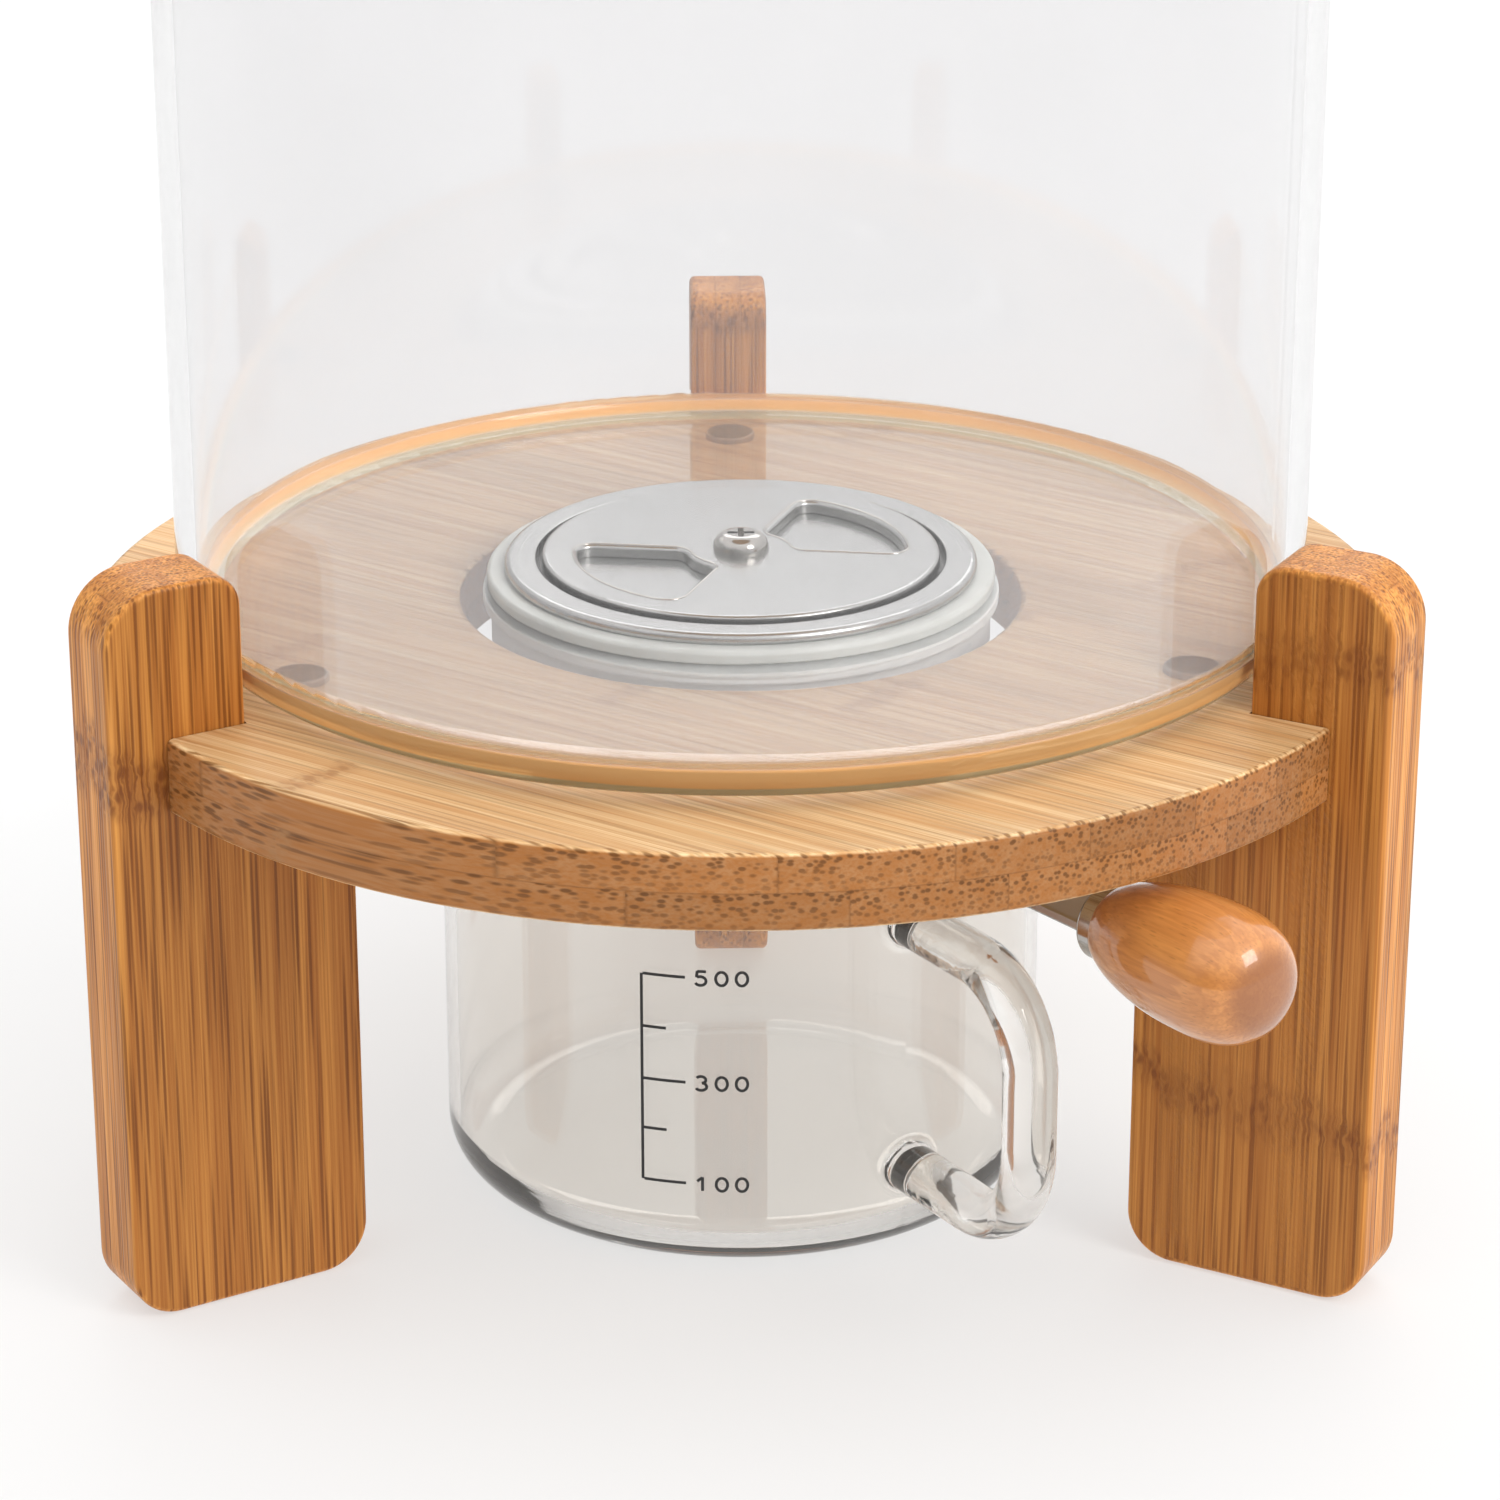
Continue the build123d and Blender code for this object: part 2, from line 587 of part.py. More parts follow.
def lever_knob():
    """Turned pear shape, thin at the ferrule, fullest past its middle, with a blunt crown."""
    fullest = KNOB_FULLEST * KNOB_LENGTH
    side = Spline(
        (KNOB_END_RADIUS, 0, 0),
        (KNOB_NECK_RADIUS, 0, KNOB_NECK * KNOB_LENGTH),
        (KNOB_RADIUS, 0, fullest),
        tangents=[(0.6, 0, 1), (0, 0, 1)],
    )
    crown = Spline(
        (KNOB_RADIUS, 0, fullest),
        (0, 0, KNOB_LENGTH),
        tangents=[(0, 0, 1), (-1, 0, 0)],
        tangent_scalars=[1.3, 1.5],
    )
    axis = Line((0, 0, KNOB_LENGTH), (0, 0, 0))
    face = Line((0, 0, 0), (KNOB_END_RADIUS, 0, 0))
    knob = revolve(make_face(side + crown + axis + face), Axis.Z)
    knob = fillet(knob.edges().sort_by(Axis.Z)[0], KNOB_FOOT_ROUNDING)
    knob -= disc(STUD_RADIUS + FASTENER_CLEARANCE, 0, STUD_LENGTH)
    return along_lever(Pos(0, 0, KNOB_START_R) * knob)


def lid_screw_hole(bottom_z, height):
    """The cutter for the lid knob's screw."""
    return disc(WOOD_SCREW_RADIUS + FASTENER_CLEARANCE, bottom_z, height)


def lid_board():
    """Disc that rests on the glass rim."""
    board = disc(LID_RADIUS, GLASS_TOP_Z, LID_THICKNESS)
    board = fillet(board.edges(), LID_EDGE_RADIUS)
    return board - lid_screw_hole(GLASS_TOP_Z, LID_THICKNESS)


def lid_plug():
    """Disc glued under the lid board, with a groove for the seal."""
    bottom_z = GLASS_TOP_Z - PLUG_THICKNESS
    plug = disc(PLUG_RADIUS, bottom_z, PLUG_THICKNESS)
    plug = fillet(plug.edges().group_by(Axis.Z)[0], PLUG_ROUNDING)
    groove_z = GLASS_TOP_Z - (PLUG_THICKNESS + SEAL_HEIGHT) / 2
    plug -= disc(PLUG_RADIUS + OVERCUT, groove_z, SEAL_HEIGHT, PLUG_RADIUS - SEAL_GROOVE_DEPTH)
    head_radius = WOOD_SCREW_HEAD_RADIUS + FASTENER_CLEARANCE
    sink = [
        (0, bottom_z),
        (head_radius, bottom_z),
        (WOOD_SCREW_RADIUS + FASTENER_CLEARANCE, bottom_z + WOOD_SCREW_HEAD_HEIGHT),
        (0, bottom_z + WOOD_SCREW_HEAD_HEIGHT),
    ]
    return plug - turned(sink) - lid_screw_hole(bottom_z, PLUG_THICKNESS)


def lid_seal():
    """Silicone band in the plug's groove with two lips that reach for the glass wall."""
    height = SEAL_HEIGHT - 2 * FASTENER_CLEARANCE
    bottom_z = GLASS_TOP_Z - (PLUG_THICKNESS + SEAL_HEIGHT) / 2 + FASTENER_CLEARANCE
    inner_r = PLUG_RADIUS - SEAL_GROOVE_DEPTH + FASTENER_CLEARANCE
    band_r = PLUG_RADIUS + SEAL_BAND
    seal = disc(band_r, bottom_z, height, inner_r)
    for lip_z in (bottom_z + SEAL_LIP_INSET, bottom_z + height - SEAL_LIP - SEAL_LIP_INSET):
        lip = [
            (band_r - SEAL_BAND / 2, lip_z),
            (SEAL_RADIUS, lip_z + SEAL_LIP_TAPER),
            (SEAL_RADIUS, lip_z + SEAL_LIP - SEAL_LIP_TAPER),
            (band_r - SEAL_BAND / 2, lip_z + SEAL_LIP),
        ]
        seal += turned(lip)
    return seal


def lid_knob():
    """Turned knob with a foot, a waist and a flattened ball."""
    ball_z = LID_KNOB_HEIGHT - LID_KNOB_FLATNESS * LID_KNOB_RADIUS
    waist_z = LID_KNOB_WAIST * LID_KNOB_HEIGHT
    waist = Spline(
        (LID_KNOB_FOOT_RADIUS, 0, 0),
        (LID_KNOB_NECK_RADIUS, 0, waist_z),
        (LID_KNOB_RADIUS, 0, ball_z),
        tangents=[(-0.2, 0, 1), (0, 0, 1)],
    )
    crown = Spline(
        (LID_KNOB_RADIUS, 0, ball_z),
        (0, 0, LID_KNOB_HEIGHT),
        tangents=[(0, 0, 1), (-1, 0, 0)],
    )
    axis = Line((0, 0, LID_KNOB_HEIGHT), (0, 0, 0))
    foot = Line((0, 0, 0), (LID_KNOB_FOOT_RADIUS, 0, 0))
    knob = revolve(make_face(waist + crown + axis + foot), Axis.Z)
    hole_depth = LID_SCREW_LENGTH - PLUG_THICKNESS - LID_THICKNESS + FASTENER_CLEARANCE
    knob -= lid_screw_hole(0, hole_depth)
    return Pos(0, 0, GLASS_TOP_Z + LID_THICKNESS) * knob


def lid_knob_screw():
    """Countersunk screw up through plug and board into the lid's knob."""
    screw = wood_screw(WOOD_SCREW_HEAD_RADIUS, WOOD_SCREW_HEAD_HEIGHT, WOOD_SCREW_RADIUS, LID_SCREW_LENGTH)
    return Pos(0, 0, GLASS_TOP_Z - PLUG_THICKNESS) * Rot(180, 0, 0) * screw


def cup_handle():
    """Glass rod bent to a D and melted onto the cup's wall."""
    root_r = CUP_RADIUS - CUP_WALL / 2
    path = FilletPolyline(
        (root_r, 0, HANDLE_BOTTOM_Z),
        (HANDLE_CENTRE_R, 0, HANDLE_BOTTOM_Z),
        (HANDLE_CENTRE_R, 0, HANDLE_TOP_Z),
        (root_r, 0, HANDLE_TOP_Z),
        radius=HANDLE_BEND,
    )
    start = Plane(origin=path @ 0, x_dir=(0, 1, 0), z_dir=path % 0)
    return sweep(start * Ellipse(HANDLE_WIDTH / 2, HANDLE_DEPTH / 2), path=path)


def measuring_cup():
    """Straight-sided glass cup with a rounded foot and a D handle, one piece of glass."""
    inner_r = CUP_RADIUS - CUP_WALL
    points = [
        (0, 0),
        (CUP_RADIUS, 0),
        (CUP_RADIUS, CUP_HEIGHT),
        (inner_r, CUP_HEIGHT),
        (inner_r, CUP_BASE),
        (0, CUP_BASE),
    ]
    corners = {1: CUP_FOOT_CORNER, 2: CUP_RIM_ROUNDING, 3: CUP_RIM_ROUNDING, 4: CUP_INNER_CORNER}
    bowl = turned(points, corners)
    handle = cup_handle() - disc(inner_r + HANDLE_ROOT_GAP, 0, CUP_HEIGHT)
    cup = bowl + handle
    seams = [
        edge
        for edge in cup.edges()
        if abs(math.hypot(edge.center().X, edge.center().Y) - CUP_RADIUS) < 1.0
        and abs(edge.center().Y) < HANDLE_WIDTH
        and min(abs(edge.center().Z - HANDLE_TOP_Z), abs(edge.center().Z - HANDLE_BOTTOM_Z)) < HANDLE_DEPTH
    ]
    cup = fillet(seams, HANDLE_ROOT_BLEND)
    return Rot(0, 0, HANDLE_AZIMUTH) * cup


save("stand_board", stand_board())
for leg_name, leg_azimuth in LEG_AZIMUTHS.items():
    save(leg_name, leg(leg_azimuth))
save("leg_screws", leg_screws())
save("glass_pads", glass_pads())
save("glass_cylinder", glass_cylinder())
save("valve_body", valve_body())
save("gasket_upper", gasket_upper())
save("gasket_lower", gasket_lower())
save("lock_nut", lock_nut())
save("shaft_bushing", shaft_bushing())
save("valve_rotor", valve_rotor())
save("rotor_screw", pan_screw(SEAT_Z + ROTOR_GAP + ROTOR_HEIGHT, up=1))
save("valve_shaft", valve_shaft())
save("thrust_washer", thrust_washer())
save("seat_spring", seat_spring())
save("lever_arm", lever_arm())
save("lever_washer", lever_washer())
save("lever_screw", pan_screw(LEVER_Z - LEVER_SHEET / 2 - WASHER_THICKNESS, up=-1))
save("knob_ferrule", knob_ferrule())
save("knob_stud", knob_stud())
save("lever_knob", lever_knob())
save("lid_board", lid_board())
save("lid_plug", lid_plug())
save("lid_seal", lid_seal())
save("lid_knob", lid_knob())
save("lid_knob_screw", lid_knob_screw())
save("measuring_cup", measuring_cup())
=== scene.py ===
"""Looks of the dry food dispenser: materials, the cup's printed scale, floor, light and camera."""

import json
import math

import bmesh
import bpy
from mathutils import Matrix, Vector


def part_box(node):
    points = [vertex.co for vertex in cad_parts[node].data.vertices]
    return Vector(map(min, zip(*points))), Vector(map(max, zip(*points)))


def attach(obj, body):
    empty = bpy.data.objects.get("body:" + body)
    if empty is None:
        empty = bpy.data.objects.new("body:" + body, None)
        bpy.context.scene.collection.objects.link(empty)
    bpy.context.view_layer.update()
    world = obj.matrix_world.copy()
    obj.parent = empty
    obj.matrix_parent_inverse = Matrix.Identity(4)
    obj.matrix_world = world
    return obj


MM = 0.001
X_AXIS = (1.0, 0.0, 0.0)
Y_AXIS = (0.0, 1.0, 0.0)
Z_AXIS = (0.0, 0.0, 1.0)

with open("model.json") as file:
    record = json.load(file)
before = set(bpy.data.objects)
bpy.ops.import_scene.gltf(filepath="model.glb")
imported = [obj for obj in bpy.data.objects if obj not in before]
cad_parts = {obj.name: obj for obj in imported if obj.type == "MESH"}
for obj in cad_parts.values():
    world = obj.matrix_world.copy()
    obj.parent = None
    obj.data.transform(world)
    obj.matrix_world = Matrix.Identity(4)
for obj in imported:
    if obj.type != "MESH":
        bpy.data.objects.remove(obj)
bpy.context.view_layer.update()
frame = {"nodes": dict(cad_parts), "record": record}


def lowest(node):
    """Lowest corner of a CAD node, in metres."""
    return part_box(node)[0]


def highest(node):
    """Highest corner of a CAD node, in metres."""
    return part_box(node)[1]


def flat_direction(azimuth):
    """Horizontal unit vector at that azimuth, in degrees from +X."""
    angle = math.radians(azimuth)
    return (math.cos(angle), math.sin(angle), 0.0)


def scaled(share, colour):
    """The colour with each channel multiplied by share."""
    return tuple(share * channel for channel in colour)


def add_to_scene(name, data):
    """New object with that mesh, lamp or camera, linked into the scene."""
    obj = bpy.data.objects.new(name, data)
    bpy.context.scene.collection.objects.link(obj)
    return obj


# --------------------------------------------------------------------------- shader graph helper


class Graph:
    """One material's node tree, with short calls for the nodes used here."""

    def __init__(self, name):
        self.material = bpy.data.materials.new(name)
        self.material.use_nodes = True
        self.tree = self.material.node_tree
        self.tree.nodes.clear()
        self.output = self.tree.nodes.new("ShaderNodeOutputMaterial")
        self.position = self.tree.nodes.new("ShaderNodeTexCoord").outputs["Object"]

    def feed(self, socket, value):
        """Links a socket to another one, or sets it to a constant."""
        if isinstance(value, bpy.types.NodeSocket):
            self.tree.links.new(value, socket)
        elif socket.type == "RGBA":
            socket.default_value = (*value[:3], 1.0)
        else:
            socket.default_value = value

    def math(self, operation, first, second=0.0):
        node = self.tree.nodes.new("ShaderNodeMath")
        node.operation = operation
        self.feed(node.inputs[0], first)
        self.feed(node.inputs[1], second)
        return node.outputs[0]

    def times(self, first, second):
        return self.math("MULTIPLY", first, second)

    def plus(self, first, second):
        return self.math("ADD", first, second)

    def gap(self, value, centre):
        """How far the value is from the centre, either way."""
        return self.math("ABSOLUTE", self.math("SUBTRACT", value, centre))

    def dot(self, vector, direction):
        node = self.tree.nodes.new("ShaderNodeVectorMath")
        node.operation = "DOT_PRODUCT"
        self.feed(node.inputs[0], vector)
        self.feed(node.inputs[1], direction)
        return node.outputs["Value"]

    def axis_radius(self):
        """Distance from the vessel's axis."""
        x = self.dot(self.position, X_AXIS)
        y = self.dot(self.position, Y_AXIS)
        return self.math("SQRT", self.plus(self.times(x, x), self.times(y, y)))

    def surface_dot(self, direction):
        """How far the surface faces that direction of the object, from -1 to 1."""
        normal = self.tree.nodes.new("ShaderNodeTexCoord").outputs["Normal"]
        return self.dot(normal, direction)

    def combine(self, x, y, z):
        node = self.tree.nodes.new("ShaderNodeCombineXYZ")
        self.feed(node.inputs[0], x)
        self.feed(node.inputs[1], y)
        self.feed(node.inputs[2], z)
        return node.outputs[0]

    def noise(self, vector, scale=1.0, detail=2.0):
        node = self.tree.nodes.new("ShaderNodeTexNoise")
        self.feed(node.inputs["Vector"], vector)
        node.inputs["Scale"].default_value = scale
        node.inputs["Detail"].default_value = detail
        node.inputs["Roughness"].default_value = 0.5
        return node.outputs["Fac"]

    def cells(self, vector):
        """Distance from the nearest cell centre, in cell widths."""
        node = self.tree.nodes.new("ShaderNodeTexVoronoi")
        self.feed(node.inputs["Vector"], vector)
        node.inputs["Scale"].default_value = 1.0
        node.inputs["Randomness"].default_value = 1.0
        return node.outputs["Distance"]

    def random(self, vector):
        node = self.tree.nodes.new("ShaderNodeTexWhiteNoise")
        node.noise_dimensions = "3D"
        self.feed(node.inputs["Vector"], vector)
        return node.outputs["Value"]

    def step(self, value, low, high, out_low=0.0, out_high=1.0):
        """Smooth change from out_low to out_high as value goes from low to high."""
        node = self.tree.nodes.new("ShaderNodeMapRange")
        node.interpolation_type = "SMOOTHSTEP"
        self.feed(node.inputs["Value"], value)
        node.inputs["From Min"].default_value = low
        node.inputs["From Max"].default_value = high
        node.inputs["To Min"].default_value = out_low
        node.inputs["To Max"].default_value = out_high
        return node.outputs["Result"]

    def mix(self, amount, first, second, blend="MIX"):
        node = self.tree.nodes.new("ShaderNodeMix")
        node.data_type = "RGBA"
        node.blend_type = blend
        node.clamp_factor = True
        self.feed(node.inputs["Factor"], amount)
        colours = [socket for socket in node.inputs if socket.type == "RGBA"]
        self.feed(colours[0], first)
        self.feed(colours[1], second)
        return next(socket for socket in node.outputs if socket.type == "RGBA")

    def bump(self, height, strength, distance):
        node = self.tree.nodes.new("ShaderNodeBump")
        node.inputs["Strength"].default_value = strength
        node.inputs["Distance"].default_value = distance
        self.feed(node.inputs["Height"], height)
        return node.outputs["Normal"]

    def principled(self, **values):
        """Principled shader joined to the output; underscores stand for spaces in socket names."""
        node = self.tree.nodes.new("ShaderNodeBsdfPrincipled")
        for name, value in values.items():
            self.feed(node.inputs[name.replace("_", " ")], value)
        self.feed(self.output.inputs["Surface"], node.outputs[0])
        return node


# --------------------------------------------------------------------------- bamboo and turned wood

# Bamboo: lengths and widths of its marks
CELL_LENGTH = 46 * MM
FIBRE = 0.5 * MM
FIBRE_LENGTH = 60 * MM
STREAK = 2.6 * MM
STREAK_LENGTH = 140 * MM
KNOT_SPOT = 1.5 * MM
KNOT_SPOT_LENGTH = 3.2 * MM
JOINT_HALF_WIDTH = 0.13 * MM
LATH_STAGGER = 0.37  # of a lath's width, from one ply to the next
LATH_SHIFT = 7.3  # moves the marks along the grain from one lath to the next
# Bamboo: knots, where the fibres swerve
KNOT_WAVES = 90.0  # per metre
KNOT_WAVE_DEPTH = 2.2  # of a knot's half height
KNOT_CORE = 0.15  # of a knot's half height
KNOT_STRENGTH = 0.34
KNOT_SPOT_STRENGTH = 0.5
SWERVE = 2.6 * MM
SWERVE_WAVES_ALONG = 260.0
SWERVE_WAVES_ACROSS = 420.0
# Bamboo: the values of a pattern between which a mark fades in
BUNDLE_EDGE = (0.52, 0.24)
KNOT_SPOT_EDGE = (0.55, 0.2)
FIBRE_EDGE = (0.34, 0.68)
STREAK_EDGE = (0.30, 0.72)
RIM_EDGE = (0.35, 0.85)
# Bamboo: how strongly each mark shows
STREAK_STRENGTH = 0.5
FIBRE_STRENGTH = 0.5
BUNDLE_STRENGTH = 0.72
SPARSE_BUNDLES = 0.45  # at the pith side of a ply, against 1 at its skin side
SEAM_STRENGTH = 0.35
# The rim colour's share and its bundles are painted shade on the sides
RIM_SHARE = 0.85
BUNDLE_DARKNESS = 0.45
RIM_BUNDLE_DARKNESS = 0.32
DARKEST_LATH = 0.80
LATH_TONES = 0.22
SLOW_TONES = 0.16
SLOW_SCALE = 16.0
# Bamboo: surface
BAMBOO_ROUGHNESS = (0.34, 0.48)
FIBRE_RELIEF = 0.6
SEAM_RELIEF = 0.8
BAMBOO_RELIEF = 0.12 * MM


def bamboo(
    name, grain, across, through, strip, ply, ply_start, cell, knots, knot_spread, pale, deep, knot_colour,
    contrast=1.0, painted_shade_rim_colour=None,
):
    """Laminated bamboo.

    grain, across and through are its three directions. strip and ply are the width and height of one lath,
    and a ply starts at ply_start. cell is the spacing of the dark fibre bundles. knots are (place along the
    grain, place's slope across, half height), and knot_spread is how far laths differ in where a knot is.
    Surfaces that don't face through take the rim colour given: painted shade, making the sides darker
    because less light falls on them.
    """
    g = Graph(name)
    along = g.dot(g.position, grain)
    side = g.dot(g.position, across)
    depth = g.math("SUBTRACT", g.dot(g.position, through), ply_start)

    layer = g.math("FLOOR", g.math("DIVIDE", depth, ply))
    shifted = g.plus(side, g.times(layer, LATH_STAGGER * strip))
    lath = g.math("FLOOR", g.math("DIVIDE", shifted, strip))
    tone = g.random(g.combine(layer, lath, 0.5))
    height_in_ply = g.math("FRACT", g.math("DIVIDE", depth, ply))
    place_in_lath = g.math("FRACT", g.math("DIVIDE", shifted, strip))

    # Each knot is a wavy dark band
    wave = g.noise(g.combine(g.times(side, KNOT_WAVES), g.times(depth, KNOT_WAVES), lath), detail=3.0)
    centred_wave = g.math("SUBTRACT", wave, 0.5)
    offset = g.times(g.math("SUBTRACT", tone, 0.5), knot_spread)
    knot = 0.0
    for place, slope, half_height in knots:
        centre = g.plus(g.plus(place, offset), g.times(side, slope))
        centre = g.plus(centre, g.times(centred_wave, KNOT_WAVE_DEPTH * half_height))
        band = g.step(g.gap(along, centre), KNOT_CORE * half_height, half_height, 1.0, 0.0)
        knot = g.math("MAXIMUM", knot, band)
    swerve_noise = g.noise(
        g.combine(g.times(along, SWERVE_WAVES_ALONG), g.times(side, SWERVE_WAVES_ACROSS), depth)
    )
    swerve = g.times(g.math("SUBTRACT", swerve_noise, 0.5), SWERVE)
    bent = g.plus(side, g.times(swerve, knot))

    def stretched(length, width, seed):
        """Position in units of a mark's length and width, different for each seed."""
        return g.combine(
            g.plus(g.math("DIVIDE", along, length), g.times(lath, LATH_SHIFT + seed)),
            g.math("DIVIDE", bent, width),
            g.math("DIVIDE", depth, width),
        )

    bundles = g.step(g.cells(stretched(CELL_LENGTH, cell, 0.0)), *BUNDLE_EDGE)
    fibres = g.step(g.noise(stretched(FIBRE_LENGTH, FIBRE, 1.0), detail=3.0), *FIBRE_EDGE)
    streaks = g.step(g.noise(stretched(STREAK_LENGTH, STREAK, 2.0), detail=2.0), *STREAK_EDGE)
    knot_spots = g.step(g.cells(stretched(KNOT_SPOT_LENGTH, KNOT_SPOT, 3.0)), *KNOT_SPOT_EDGE)

    colour = g.mix(g.times(streaks, STREAK_STRENGTH * contrast), pale, deep)
    colour = g.mix(g.times(fibres, FIBRE_STRENGTH * contrast), colour, deep)
    dark = scaled(BUNDLE_DARKNESS, deep)
    if painted_shade_rim_colour:
        # Painted shade: surfaces that don't face through are darkened, as sides that get less light
        on_face = g.step(g.math("ABSOLUTE", g.surface_dot(through)), *RIM_EDGE)
        share = g.times(g.math("SUBTRACT", 1.0, on_face), RIM_SHARE)
        colour = g.mix(share, colour, painted_shade_rim_colour)
        dark = g.mix(share, dark, scaled(RIM_BUNDLE_DARKNESS, painted_shade_rim_colour))
    density = g.step(height_in_ply, 0.0, 1.0, SPARSE_BUNDLES, 1.0)
    colour = g.mix(g.times(g.times(bundles, density), BUNDLE_STRENGTH * contrast), colour, dark)
    knot_share = g.times(knot, g.plus(KNOT_STRENGTH, g.times(knot_spots, KNOT_SPOT_STRENGTH)))
    colour = g.mix(knot_share, colour, knot_colour)
    slow = g.noise(g.position, scale=SLOW_SCALE, detail=1.0)
    shade = g.plus(g.plus(g.times(tone, LATH_TONES), g.times(slow, SLOW_TONES)), DARKEST_LATH)
    colour = g.mix(1.0, colour, g.combine(shade, shade, shade), blend="MULTIPLY")

    def seams(place, size):
        """The glue joints on both sides of a lath of that size, from the place in it."""
        return g.step(g.gap(place, 0.5), 0.5 - 2 * JOINT_HALF_WIDTH / size, 0.5)

    seam = g.math("MAXIMUM", seams(place_in_lath, strip), seams(height_in_ply, ply))
    colour = g.mix(g.times(seam, SEAM_STRENGTH), colour, dark)

    hollows = g.plus(g.plus(g.times(fibres, FIBRE_RELIEF), bundles), g.times(seam, SEAM_RELIEF))
    g.principled(
        Base_Color=colour,
        Roughness=g.step(fibres, 0.0, 1.0, *BAMBOO_ROUGHNESS),
        Normal=g.bump(g.times(hollows, -1.0), 0.35, BAMBOO_RELIEF),
        Coat_Weight=0.06,
        Coat_Roughness=0.28,
        Coat_IOR=1.45,
        Specular_IOR_Level=0.25,
    )
    return g.material


# Turned wood: colours, then lengths and widths of its marks
KNOB_PALE = (0.72, 0.29, 0.07)
KNOB_DEEP = (0.46, 0.15, 0.03)
KNOB_CROWN = (0.27, 0.085, 0.02)
GROWTH = 5.5 * MM
GROWTH_LENGTH = 60 * MM
GROWTH_RINGS = 6.0
LINE = 0.55 * MM
LINE_LENGTH = 24 * MM
PORE = 0.75 * MM
PORE_LENGTH = 5.0 * MM
# Turned wood: the values of a pattern between which a mark fades in
RING_EDGE = (1.0, 0.82)
LINE_EDGE = (0.38, 0.66)
PORE_EDGE = (0.26, 0.10)
CROWN_EDGE = (0.66, 0.94)
# Turned wood: how strongly each mark shows
RING_STRENGTH = 0.55
LINE_STRENGTH = 0.38
PORE_STRENGTH = 0.30
PORE_DARKNESS = 0.5
CROWN_STRENGTH = 0.75
VARNISHED_ROUGHNESS = (0.30, 0.38)
VARNISHED_RELIEF = 0.05 * MM


def turned_wood(name, grain):
    """Close-grained wood under gloss varnish, darker where the grain ends at the crown."""
    g = Graph(name)
    upright = grain[2] != 0.0
    across = X_AXIS if upright else (-grain[1], grain[0], 0.0)
    up = Y_AXIS if upright else Z_AXIS
    along = g.dot(g.position, grain)
    side = g.dot(g.position, across)
    depth = g.dot(g.position, up)

    def stretched(length, width):
        """Position in units of a mark's length and width."""
        return g.combine(
            g.math("DIVIDE", along, length), g.math("DIVIDE", side, width), g.math("DIVIDE", depth, width)
        )

    growth = g.noise(stretched(GROWTH_LENGTH, GROWTH), detail=2.0)
    rings = g.math("FRACT", g.times(growth, GROWTH_RINGS))
    rings = g.times(rings, g.step(rings, *RING_EDGE))
    lines = g.step(g.noise(stretched(LINE_LENGTH, LINE), detail=3.0), *LINE_EDGE)
    pores = g.step(g.cells(stretched(PORE_LENGTH, PORE)), *PORE_EDGE)
    crown = g.step(g.surface_dot(grain), *CROWN_EDGE)
    colour = g.mix(g.times(rings, RING_STRENGTH), KNOB_PALE, KNOB_DEEP)
    colour = g.mix(g.times(lines, LINE_STRENGTH), colour, KNOB_DEEP)
    colour = g.mix(g.times(pores, PORE_STRENGTH), colour, scaled(PORE_DARKNESS, KNOB_DEEP))
    colour = g.mix(g.times(crown, CROWN_STRENGTH), colour, KNOB_CROWN)
    g.principled(
        Base_Color=colour,
        Roughness=g.step(lines, 0.0, 1.0, *VARNISHED_ROUGHNESS),
        Normal=g.bump(g.times(lines, -1.0), 0.12, VARNISHED_RELIEF),
        Coat_Weight=1.0,
        Coat_Roughness=0.05,
        Coat_IOR=1.5,
    )
    return g.material


# --------------------------------------------------------------------------- other materials

TURNING_MARKS = 5200.0  # per metre
CLOUD_SCALE = 70.0
DULLED = 0.86
DULLED_SHARE = 0.55
MARK_ROUGHNESS = 0.10
CLOUD_ROUGHNESS = 0.08
MARK_RELIEF = 0.02 * MM
# Painted shade: a dark ring standing for the shadow in the groove round the rotor
GROOVE_PAINTED_SHADE_STRENGTH = 0.85
GROOVE_PAINTED_SHADE_COLOUR = (0.04, 0.037, 0.032)
GROOVE_FADE = 0.25 * MM
GROOVE_DARK_DEPTH = 0.6 * MM
GROOVE_CLEAR_DEPTH = 0.2 * MM


def steel(name, colour, roughness, relief, groove=None):
    """Stainless steel with faint turning marks round the vessel's axis.

    groove is (radius, half width, top height) of a ring darkened with painted shade, where shadow falls in
    the groove round the rotor.
    """
    g = Graph(name)
    height = g.dot(g.position, Z_AXIS)
    radius = g.axis_radius()
    marks = g.noise(
        g.combine(g.times(radius, TURNING_MARKS), g.times(height, TURNING_MARKS), 0.0), detail=3.0
    )
    cloud = g.noise(g.position, scale=CLOUD_SCALE, detail=3.0)
    tint = g.mix(g.step(cloud, 0.3, 0.7, 0.0, DULLED_SHARE), colour, scaled(DULLED, colour))
    if groove:
        ring_radius, half_width, top = groove
        in_ring = g.step(g.gap(radius, ring_radius), half_width, half_width + GROOVE_FADE, 1.0, 0.0)
        below = g.step(height, top - GROOVE_DARK_DEPTH, top - GROOVE_CLEAR_DEPTH, 1.0, 0.0)
        # Painted shade: darkens the steel in the groove round the rotor, below its top, where shadow falls
        tint = g.mix(g.times(g.times(in_ring, below), GROOVE_PAINTED_SHADE_STRENGTH), tint, GROOVE_PAINTED_SHADE_COLOUR)
    # The marks and the cloud average one half, so they leave the mean roughness as given
    uneven = g.plus(g.times(marks, MARK_ROUGHNESS), g.times(cloud, CLOUD_ROUGHNESS))
    g.principled(
        Base_Color=tint,
        Metallic=1.0,
        Roughness=g.plus(uneven, roughness - (MARK_ROUGHNESS + CLOUD_ROUGHNESS) / 2),
        Normal=g.bump(marks, relief, MARK_RELIEF),
    )
    return g.material


